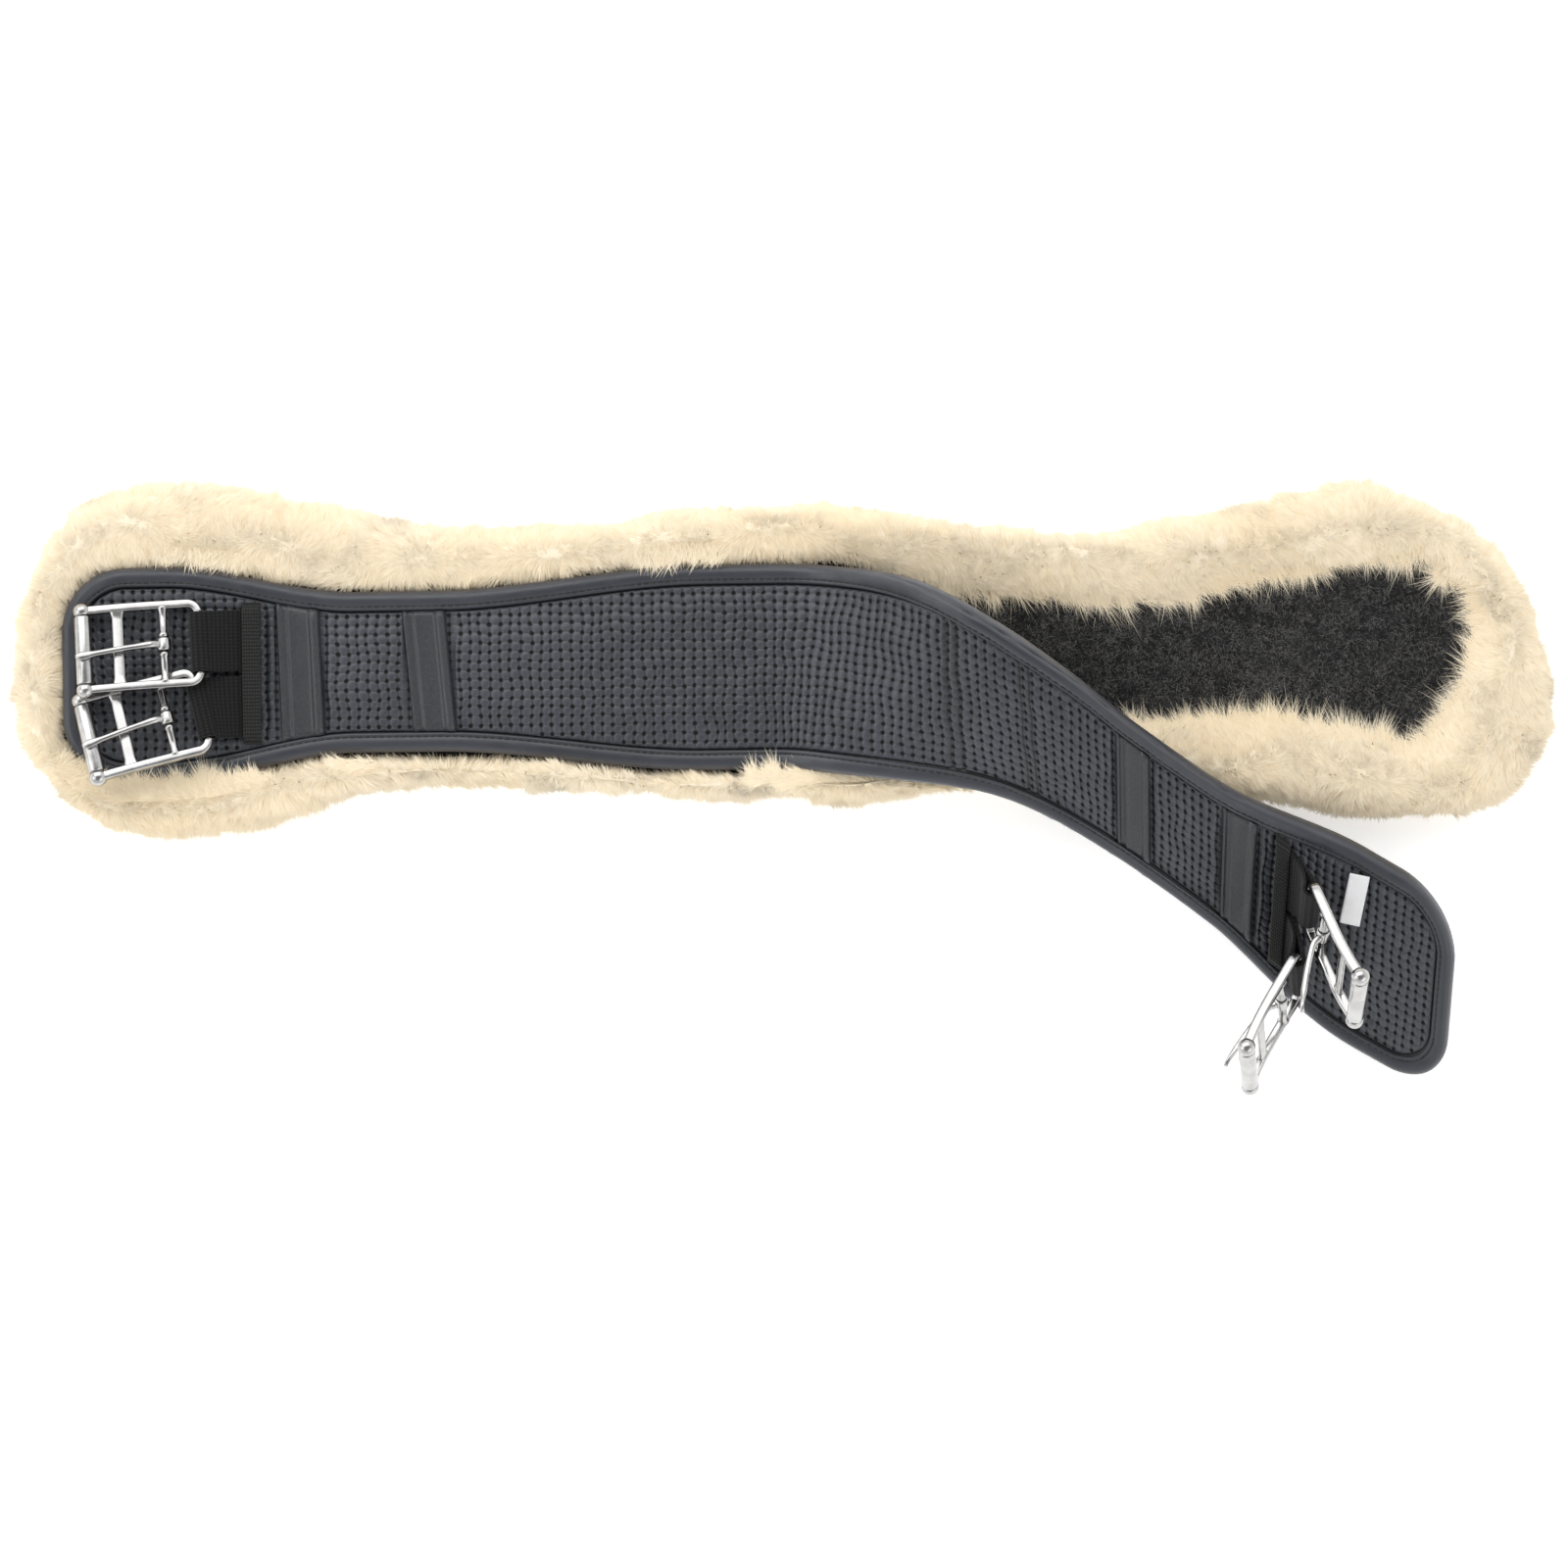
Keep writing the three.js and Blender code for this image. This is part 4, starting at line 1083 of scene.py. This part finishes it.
# The upper and lower rounded corner at each end of the liner: the middle and the radius.
LINER_CORNERS = [((-265, 12, 65), (-265, -11, 65)), ((236, -17, 94), (285, -21, 45))]
# How the liner's sides change with the distance from its ends.
LINER_REACH = 333
LINER_TOP = [(-21, 60, 215), (10.5, 215, 330)]
LINER_BOTTOM_NARROWER = {"left": 22, "right": 12}


def pocket_centre(x):
    return FOLD[1] + (np.asarray(x, float) - FOLD[0]) * math.tan(math.radians(HEADING_AT_FOLD))


def pocket_half(x):
    d = np.minimum(x - FOLD[0] - LEFT_END, RIGHT_END + FOLD[0] - x)
    return open_half(np.maximum(d, 0)) + POCKET_GAP


def around(top, bottom, left, right):
    """Points round an outline from the left end of its top side, clockwise. Ends list (x, y, radius)."""
    points = []

    def side(height, start, stop):
        x = np.linspace(start, stop, SIDE_STEPS + 1)[1:-1]
        points.append(np.stack([x, height(x)], -1))

    def corner(place, start, stop):
        x, y, radius = place
        turn = np.radians(np.linspace(start, stop, CORNER_STEPS + 1))
        points.append(np.stack([x + radius * np.cos(turn), y + radius * np.sin(turn)], -1))

    side(top, left[0][0], right[0][0])
    corner(right[0], 90, 3)
    corner(right[1], -3, -90)
    side(bottom, right[1][0], left[1][0])
    corner(left[1], -90, -177)
    corner(left[0], 177, 90)
    return np.vstack(points)


def liner_outline():
    def top(x):
        return 77 + ramps(LINER_TOP, LINER_REACH - np.abs(x))

    def bottom(x):
        d = LINER_REACH - np.abs(x)
        narrower = np.where(x < 0, LINER_BOTTOM_NARROWER["left"], LINER_BOTTOM_NARROWER["right"])
        return -54 - narrower * (1 - smooth(60, 190, d)) - 5 * smooth(225, 320, d)

    return around(top, bottom, *LINER_CORNERS)


def pocket_outline():
    def corners(x):
        middle_x = x - math.copysign(POCKET_CORNER, x)
        middle, half = float(pocket_centre(middle_x)), HALF_END + POCKET_GAP - POCKET_CORNER
        return (middle_x, middle + half, POCKET_CORNER), (middle_x, middle - half, POCKET_CORNER)

    return around(
        lambda x: pocket_centre(x) + pocket_half(x),
        lambda x: pocket_centre(x) - pocket_half(x),
        corners(FOLD[0] + LEFT_END - POCKET_GAP),
        corners(POCKET_RIGHT),
    )


# How far across the rolled edge a point of its section lies, its height, how far it spills over the
# bare loop fabric, and how plush it is.
FLEECE_SECTION = np.array(
    [
        [0.0, 13.9, 0, 0], [0.0, 17.3, 0, 0], [0.0, 18.2, 1, 0.1], [0.01, 20.6, 1, 0.35],
        [0.06, 23.4, 0.86, 0.6], [0.14, 25.6, 0.66, 0.8], [0.26, 27.4, 0.4, 1], [0.4, 28.3, 0.16, 1],
        [0.54, 28.2, 0.03, 1], [0.67, 27.0, 0, 1], [0.79, 24.4, 0, 1], [0.89, 20.4, 0, 1],
        [0.96, 15.8, 0, 1], [0.995, 11, 0, 1], [1.0, 7.2, 0, 1], [0.985, 4.0, 0, 0.9],
        [0.955, 1.8, 0, 0.5], [0.9, 0.5, 0, 0], [0.8, 0.2, 0, 0], [0.5, 0.2, 0, 0],
        [0.25, 0.2, 0, 0], [0.0, 0.2, 0, 0], [0.0, 7.0, 0, 0],
    ]
)
PILE_INSET = 3.0
BROAD_WAVES = Waves(52)
TUFT_WAVES = Waves(15)
LOCK_WAVES = Waves(6.5)
FLOW_X, FLOW_Y, FLOW_Z = Waves(34), Waves(34), Waves(30)
LOCK_X, LOCK_Y = Waves(7), Waves(7)
CLUMPS = Waves(2.6)
# How far the pile leans over the loop fabric, above and below, where the strap is peeled off it.
SPILL_EVERYWHERE = 1.7
SPILL_ABOVE = [(20, 15, 80), (-24, 118, 226), (10, 240, 285)]
SPILL_BELOW = [(11.3, 60, 175)]


def resample(section, per):
    """More points on a closed section, on a smooth curve through it."""
    t = np.arange(per)[:, None] / per
    turned = [np.roll(section, -k, axis=0) for k in (-1, 0, 1, 2)]
    return np.vstack([spline(*four, t) for four in zip(*turned)])


def spill(x, y):
    side = SPILL_EVERYWHERE + np.where(y > 0, ramps(SPILL_ABOVE, x), ramps(SPILL_BELOW, x))
    end = smooth(283, 297, x) * smooth(-27, -8, y) * (1 - smooth(22, 42, y))
    return side * (1 - end) - 1.5 * end


POCKET, OUTLINE = pocket_outline(), liner_outline()
INWARDS = -unit(OUTLINE - POCKET)
SPILL = spill(*POCKET.T)
SECTION = resample(FLEECE_SECTION, 3)


def fleece_grid():
    """The surface of the pile, ring by ring round the pocket, and the way it faces."""
    share, spilling, plush = (np.clip(SECTION[None, :, i, None], 0, 1) for i in (0, 2, 3))
    plan = POCKET[:, None] * (1 - share) + OUTLINE[:, None] * share
    plan = plan + INWARDS[:, None] * SPILL[:, None, None] * spilling
    z = np.broadcast_to(np.maximum(SECTION[:, 1], 0.15), plan.shape[:2])
    points = np.concatenate([plan, z[..., None]], -1)
    across, along = (np.roll(points, -1, axis=i) - np.roll(points, 1, axis=i) for i in (1, 0))
    normal = unit(np.cross(across, along))
    middle = points.mean(axis=1, keepdims=True)
    normal = normal * np.sign(((points - middle) * normal).sum(-1).mean())
    swell = 1.3 * BROAD_WAVES(points) + 0.6 * TUFT_WAVES(points) + 0.25 * LOCK_WAVES(points)
    points = points + normal * (swell[..., None] - PILE_INSET) * plush
    points[..., 2] = np.maximum(points[..., 2], 0.12)
    return points, normal


SURFACE, FACING = fleece_grid()


def make_fleece():
    faces = grid_faces(*SURFACE.shape[:2], True, True)
    body = build("fleece_border", SURFACE, faces, PILE)
    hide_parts("fleece_rolled_edge")
    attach(body, "liner")


def pocket_grid(inset, spacing, columns):
    """x and y of a grid over the pocket's floor, inset from its outline."""
    left, right = FOLD[0] + LEFT_END - POCKET_GAP + inset, POCKET_RIGHT - inset
    radius = POCKET_CORNER - inset
    curved = radius * (1 - np.cos(np.radians(np.linspace(0, 90, 16))[:-1]))
    straight = np.arange(left + radius, right - radius, spacing)
    x = np.concatenate([left + curved, straight, right - curved[::-1]])
    from_end = np.minimum(np.minimum(x - left, right - x), radius)
    corner_half = HALF_END + POCKET_GAP - inset - radius + np.sqrt(radius**2 - (radius - from_end) ** 2)
    half = pocket_half(x) - inset
    half = np.where(from_end < radius, np.minimum(corner_half, half), half)
    y = pocket_centre(x)[:, None] + half[:, None] * np.linspace(-1, 1, columns)
    return np.broadcast_to(x[:, None], y.shape), y


def make_underside():
    x, y = pocket_grid(0.4, 4.0, 26)
    here = np.stack([x, y, 0 * x], -1)
    low = 0.25 + 0.5 * np.abs(TUFT_WAVES(here))
    points, faces = shell(np.stack([x, y, np.full_like(x, 13.5)], -1), np.stack([x, y, low], -1))
    under = build("fleece_below", points, faces, PILE)
    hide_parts("fleece_underside")
    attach(under, "liner")


def make_panel():
    x, y = pocket_grid(0.4, 1.6, 70)
    here = np.stack([x, y, 0 * x], -1)
    top = 16.9 + 0.22 * LOCK_WAVES(here) + 0.2 * TUFT_WAVES(here)
    points, faces = shell(np.stack([x, y, top], -1), np.stack([x, y, np.full_like(x, 15.7)], -1))
    panel = build("loop_fabric", points, faces, LOOP)
    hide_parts("loop_fabric_panel")
    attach(panel, "liner")


def blades(name, roots, directions, bends, lengths, widths, shading, tones, material, slot):
    """Fibres as tapered strips of three faces, lit by the pile's own direction so that it looks soft."""
    count = len(roots)
    # A fibre's face looks away from the pile, give or take its roll.
    side = unit(np.cross(unit(shading), directions))
    roll = RANDOM.uniform(-0.5, 0.5, (count, 1))
    side = unit(side * np.cos(roll) + np.cross(directions, side) * np.sin(roll))
    rows = []
    for t, size in ((0.0, 1.0), (0.55, 0.8), (1.0, 0.0)):
        middle = roots + directions * (lengths * t)[:, None] + bends * (lengths * t * t)[:, None]
        half = side * (widths * size / 2)[:, None]
        rows += [middle - half, middle + half]
    points = np.stack(rows[:5], axis=1)
    one = np.array([[0, 1, 3], [0, 3, 2], [2, 3, 4]])[:, ::-1]
    faces = (np.arange(count)[:, None, None] * 5 + one[None]).reshape(-1, 3)
    mesh = bpy.data.meshes.new(name)
    mesh.vertices.add(count * 5)
    mesh.vertices.foreach_set("co", (points * MM).ravel())
    mesh.loops.add(faces.size)
    mesh.loops.foreach_set("vertex_index", faces.ravel())
    mesh.polygons.add(len(faces))
    mesh.polygons.foreach_set("loop_start", np.arange(0, faces.size, 3))
    mesh.update(calc_edges=True)
    mesh.shade_smooth()
    tips = np.tile([0.0, 0.0, 0.6, 0.6, 1.0], count)
    add_values(mesh, {"tip": tips, "tone": np.repeat(np.clip(tones, 0, 1), 5)})
    plan = points.reshape(-1, 3)[faces.ravel(), :2]
    low, high = plan.min(axis=0), plan.max(axis=0)
    mesh.uv_layers.new(name="OFBake").data.foreach_set("uv", ((plan - low) / (high - low)).ravel())
    soft = unit(shading + 0.12 * unit(directions))
    mesh.normals_split_custom_set_from_vertices(np.repeat(soft, 5, axis=0).tolist())
    mesh.materials.append(material)
    obj = add_object(name, mesh)
    obj.visible_shadow = False
    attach(obj, "liner")


def towards_sky(up):
    """The way that deep wool scatters light from: mostly the sky's, whichever way its surface faces."""
    return unit(0.55 * np.maximum(up, [-1, -1, 0.2]) + np.array([0, 0, 0.75]))


# How many fibres there are, and a factor on their widths.
FUR_FIBRES, FRINGE_FIBRES, LINT_FIBRES = ((190000, 66000, 36000))
FUR_WIDER, FRINGE_WIDER = ((1.0, 1.0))
# Where tufts lie over the strap's edge: from and to along X, which side of it, and how thickly.
OVER_STRAP = [
    (-303, -240, -1, 1.5), (-238, -222, -1, 0.6), (-190, -178, -1, 0.5), (-268, -236, 1, 0.25),
    (-62, -25, 1, 0.4), (-12, 30, -1, 0.9),
]
# The height of the loop fabric, and of the strap's edge, under the hairs that lie on them.
ON_FABRIC, ON_STRAP = 17.6, 28.4


def pick_tones(roots, middle):
    """How light each fibre is: much alike within a clump."""
    return middle + 0.3 * CLUMPS(roots) + 0.16 * RANDOM.normal(size=len(roots))


def make_fringe():
    """Long fibres that hang over the loop fabric, and over the strap's edge in places."""
    total = FRINGE_FIBRES
    x, y = POCKET.T
    open_part = smooth(38, 62, x)
    on_edge = 0 * x
    for low, high, side, amount in OVER_STRAP:
        there = smooth(low - 5, low + 3, x) * (1 - smooth(high - 3, high + 5, x))
        on_edge = on_edge + amount * (side * y > 0) * there
    steps = np.linalg.norm(np.roll(POCKET, -1, axis=0) - POCKET, axis=1)
    share = (open_part + on_edge) * steps
    picked = RANDOM.choice(len(POCKET), size=total, p=share / share.sum())
    t = RANDOM.uniform(0, 1, (total, 1))

    def there(table):
        return table[picked] * (1 - t) + table[(picked + 1) % len(POCKET)] * t

    ahead = unit(there(INWARDS))
    loose = open_part[picked] > RANDOM.uniform(0, 1, total) * (open_part + on_edge)[picked]

    def either(on_fabric, on_strap_edge):
        """A random number for each fibre, from the range for where it lies."""
        return np.where(loose, RANDOM.uniform(*on_fabric, total), RANDOM.uniform(*on_strap_edge, total))

    back = either((0.5, 7.0), (3.0, 8.5))
    plan = there(POCKET) + ahead * (there(SPILL[:, None])[:, 0] - back)[:, None]
    raised = 17.4 + 5.2 * smooth(1.0, 7.0, back) * RANDOM.uniform(0.3, 1.0, total)
    z = np.where(loose, raised, RANDOM.uniform(26.6, 28.6, total))
    roots = np.column_stack([plan, z])
    inward = np.column_stack([ahead, np.zeros(total)])
    along = np.column_stack([-ahead[:, 1], ahead[:, 0], np.zeros(total)])
    clump = LOCK_X(roots * 0.8)[:, None]
    rising = np.where(loose, 0.12, 0.3)[:, None] * np.array([0, 0, 1.0])
    aside = along * (0.3 * clump + 0.5 * FLOW_X(roots)[:, None])
    directions = unit(inward + aside + rising + 0.3 * RANDOM.normal(size=(total, 3)))
    clumped = 1 + 0.22 * np.clip(LOCK_Y(roots), -1.3, 1.4)
    long = 2.4 + 10.0 * RANDOM.uniform(0, 1, total) ** 2.2
    over_edge = RANDOM.uniform(5.0, 11.0, total) * (0.45 + 0.55 * np.clip(on_edge[picked], 0, 1))
    lengths = np.where(loose, long, over_edge) * clumped
    bends = 0.16 * RANDOM.normal(size=(total, 3)) + along * 0.2 * clump
    drop = (np.where(loose, ON_FABRIC, ON_STRAP) - z) / lengths - directions[:, 2]
    bends[:, 2] = np.clip(drop, -0.7, 0.6) + RANDOM.uniform(0, 0.12, total)
    widths = either((0.14, 0.27), (0.26, 0.44)) * FRINGE_WIDER
    shading = np.column_stack([0.15 * ahead, np.full(total, 1.0)])
    shading = unit(shading + 0.15 * RANDOM.normal(size=(total, 3)))
    tones = pick_tones(roots, 0.55)
    blades("wool_fringe", roots, directions, bends, lengths, widths, shading, tones, WOOL, "wool")


def make_fur():
    """The pile's own fibres, over all of it that shows."""
    total = FUR_FIBRES
    visible = np.where((SECTION[:, 3] > 0.25) & (SECTION[:, 1] > 2.2))[0]
    first, last = visible.min(), visible.max()
    corner = SURFACE[:, first : last - 1]
    around_ring, over_section = np.roll(corner, -1, axis=0) - corner, SURFACE[:, first + 1 : last] - corner
    area = np.linalg.norm(np.cross(around_ring, over_section), axis=-1)
    picked = RANDOM.choice(area.size, size=total, p=area.ravel() / area.sum())
    r, c = np.unravel_index(picked, area.shape)
    c = c + first
    t, u = RANDOM.uniform(0, 1, (2, total, 1))
    after = (r + 1) % len(SURFACE)

    def there(grid):
        low, high = (grid[r, at] * (1 - t) + grid[after, at] * t for at in (c, c + 1))
        return low * (1 - u) + high * u

    roots, up = there(SURFACE), unit(there(FACING))
    # The wool falls outwards on the outer side and inwards on the inner, and swirls between.
    outwards = INWARDS[r] * (1 - 2 * smooth(0.15, 0.6, SECTION[c, 0]))[:, None]
    swirl = np.stack([0.75 * FLOW_X(roots), 0.75 * FLOW_Y(roots), 0.3 * FLOW_Z(roots) - 0.2], -1)
    swirl[:, :2] += 0.6 * outwards
    lean = swirl - up * (swirl * up).sum(-1, keepdims=True)
    lean = unit(lean) * np.clip(np.linalg.norm(lean, axis=1, keepdims=True), 0.5, 1.0)
    lock = np.stack([LOCK_X(roots), LOCK_Y(roots), 0 * roots[:, 0]], -1)
    inner_edge = 1 - smooth(0.0, 0.16, SECTION[c, 0])
    loose = (0.1 + 0.22 * inner_edge)[:, None] * RANDOM.normal(size=(total, 3))
    directions = unit(0.75 * up + 0.75 * lean + 0.42 * lock * (1 - 0.6 * inner_edge)[:, None] + loose)
    uneven = 1 - 0.75 * inner_edge * RANDOM.uniform(0, 1, total)
    lengths = RANDOM.uniform(5.0, 6.6, total) * (1 + 0.1 * TUFT_WAVES(roots)) * uneven
    widths = RANDOM.uniform(0.4, 0.65, total) * FUR_WIDER
    bends = 0.35 * lean + 0.1 * RANDOM.normal(size=(total, 3)) - np.array([0, 0, 0.12])
    roots = roots - up * 1.2
    off_floor = (roots + (directions + bends) * lengths[:, None])[:, 2] > 0.4
    shading = unit(towards_sky(up) + 0.11 * lock + 0.08 * RANDOM.normal(size=(total, 3)))
    rows = roots, directions, bends, lengths, widths, shading, pick_tones(roots, 0.5)
    for number in range(4):
        part = np.arange(number, total, 4)
        part = part[off_floor[part]]
        blades(f"wool_fibres_{number}", *(row[part] for row in rows), WOOL, "wool")


def make_lint():
    """Short curled lint on the open part of the loop fabric."""
    total = LINT_FIBRES
    x = RANDOM.uniform(60, POCKET_RIGHT - 3, total)
    y = pocket_centre(x) + RANDOM.uniform(-1, 1, total) * (pocket_half(x) - 1.5)
    roots = np.stack([x, y, np.full(total, 16.8)], -1)
    directions = unit(RANDOM.normal(size=(total, 3)) * [1, 1, 0.35] + [0, 0, 0.45])
    bends = 0.5 * RANDOM.normal(size=(total, 3)) * [1, 1, 0.3]
    lengths, widths = RANDOM.uniform(0.8, 2.6, total), RANDOM.uniform(0.1, 0.22, total)
    up = np.broadcast_to([0.0, 0.0, 1.0], roots.shape)
    tones = RANDOM.uniform(0, 1, total)
    blades("fabric_lint", roots, directions, bends, lengths, widths, up, tones, LINT, "loop_fabric")


make_fleece()
make_underside()
make_panel()
make_fur()
make_fringe()
make_lint()


# ---- Floor, light and camera ----

FLOOR_GLOW = 0.42
# Where each area light stands, its two sides and its power. All face the middle of the floor.
LIGHTS = {
    "key": ((-0.5, 1.5, 1.6), (3.0, 1.5), 28),
    "side": ((-1.7, -0.2, 1.3), (1.2, 1.6), 7),
    "fill": ((1.3, -1.1, 1.6), (1.8, 1.4), 8),
}
# How steep the view is where the walls end and the ceiling starts, and how bright each is.
WALL_TO_CEILING = (0.45, 0.97, 1.1, 0.3)
# The lens shows this width at this distance.
SENSOR = 36
VIEW_WIDTH = 0.672
VIEW_DISTANCE = 1.73
CAMERA_PLACE = (0, -0.0529, 1.75)


def make_floor():
    mesh = bpy.data.meshes.new("floor")
    bm = bmesh.new()
    bmesh.ops.create_grid(bm, x_segments=4, y_segments=4, size=6)
    bm.to_mesh(mesh)
    bm.free()
    sh = Shader("floor_white", Roughness=0.9, Emission_Color=rgb(1, 1, 1), Emission_Strength=FLOOR_GLOW)
    tone = sh.mix(sh.noise(0.8, 2), rgb(0.93, 0.93, 0.93), rgb(0.95, 0.95, 0.95))
    mesh.materials.append(sh.finish(Base_Color=tone))
    floor = add_object("floor", mesh)
    floor.location.z = -0.0005


def add_light(name, place, size, power):
    light = bpy.data.lights.new(name, "AREA")
    light.shape = "RECTANGLE"
    light.size, light.size_y = size
    light.energy = power
    obj = add_object(name, light)
    obj.location = place
    obj.rotation_euler = (-Vector(place)).to_track_quat("-Z", "Y").to_euler()


def make_world():
    """A pale studio: brighter walls than ceiling."""
    world = bpy.data.worlds.new("studio")
    world.use_nodes = True
    nodes, links = world.node_tree.nodes, world.node_tree.links
    split = nodes.new("ShaderNodeSeparateXYZ")
    links.new(nodes.new("ShaderNodeTexCoord").outputs["Generated"], split.inputs[0])
    ramp = nodes.new("ShaderNodeMapRange")
    ramp.interpolation_type = "SMOOTHSTEP"
    for socket, value in zip(ramp.inputs[1:5], WALL_TO_CEILING):
        socket.default_value = value
    links.new(split.outputs[2], ramp.inputs[0])
    links.new(ramp.outputs[0], nodes["Background"].inputs["Strength"])
    nodes["Background"].inputs["Color"].default_value = rgb(1, 1, 1)
    bpy.context.scene.world = world


def make_camera():
    data = bpy.data.cameras.new("camera")
    data.sensor_width = SENSOR
    data.lens = SENSOR * VIEW_DISTANCE / VIEW_WIDTH
    camera = add_object("camera", data)
    camera.location = CAMERA_PLACE
    bpy.context.scene.camera = camera


make_floor()
for light_name, light_values in LIGHTS.items():
    add_light(light_name, *light_values)
make_world()
bpy.context.scene.view_settings.view_transform = "Standard"
make_camera()
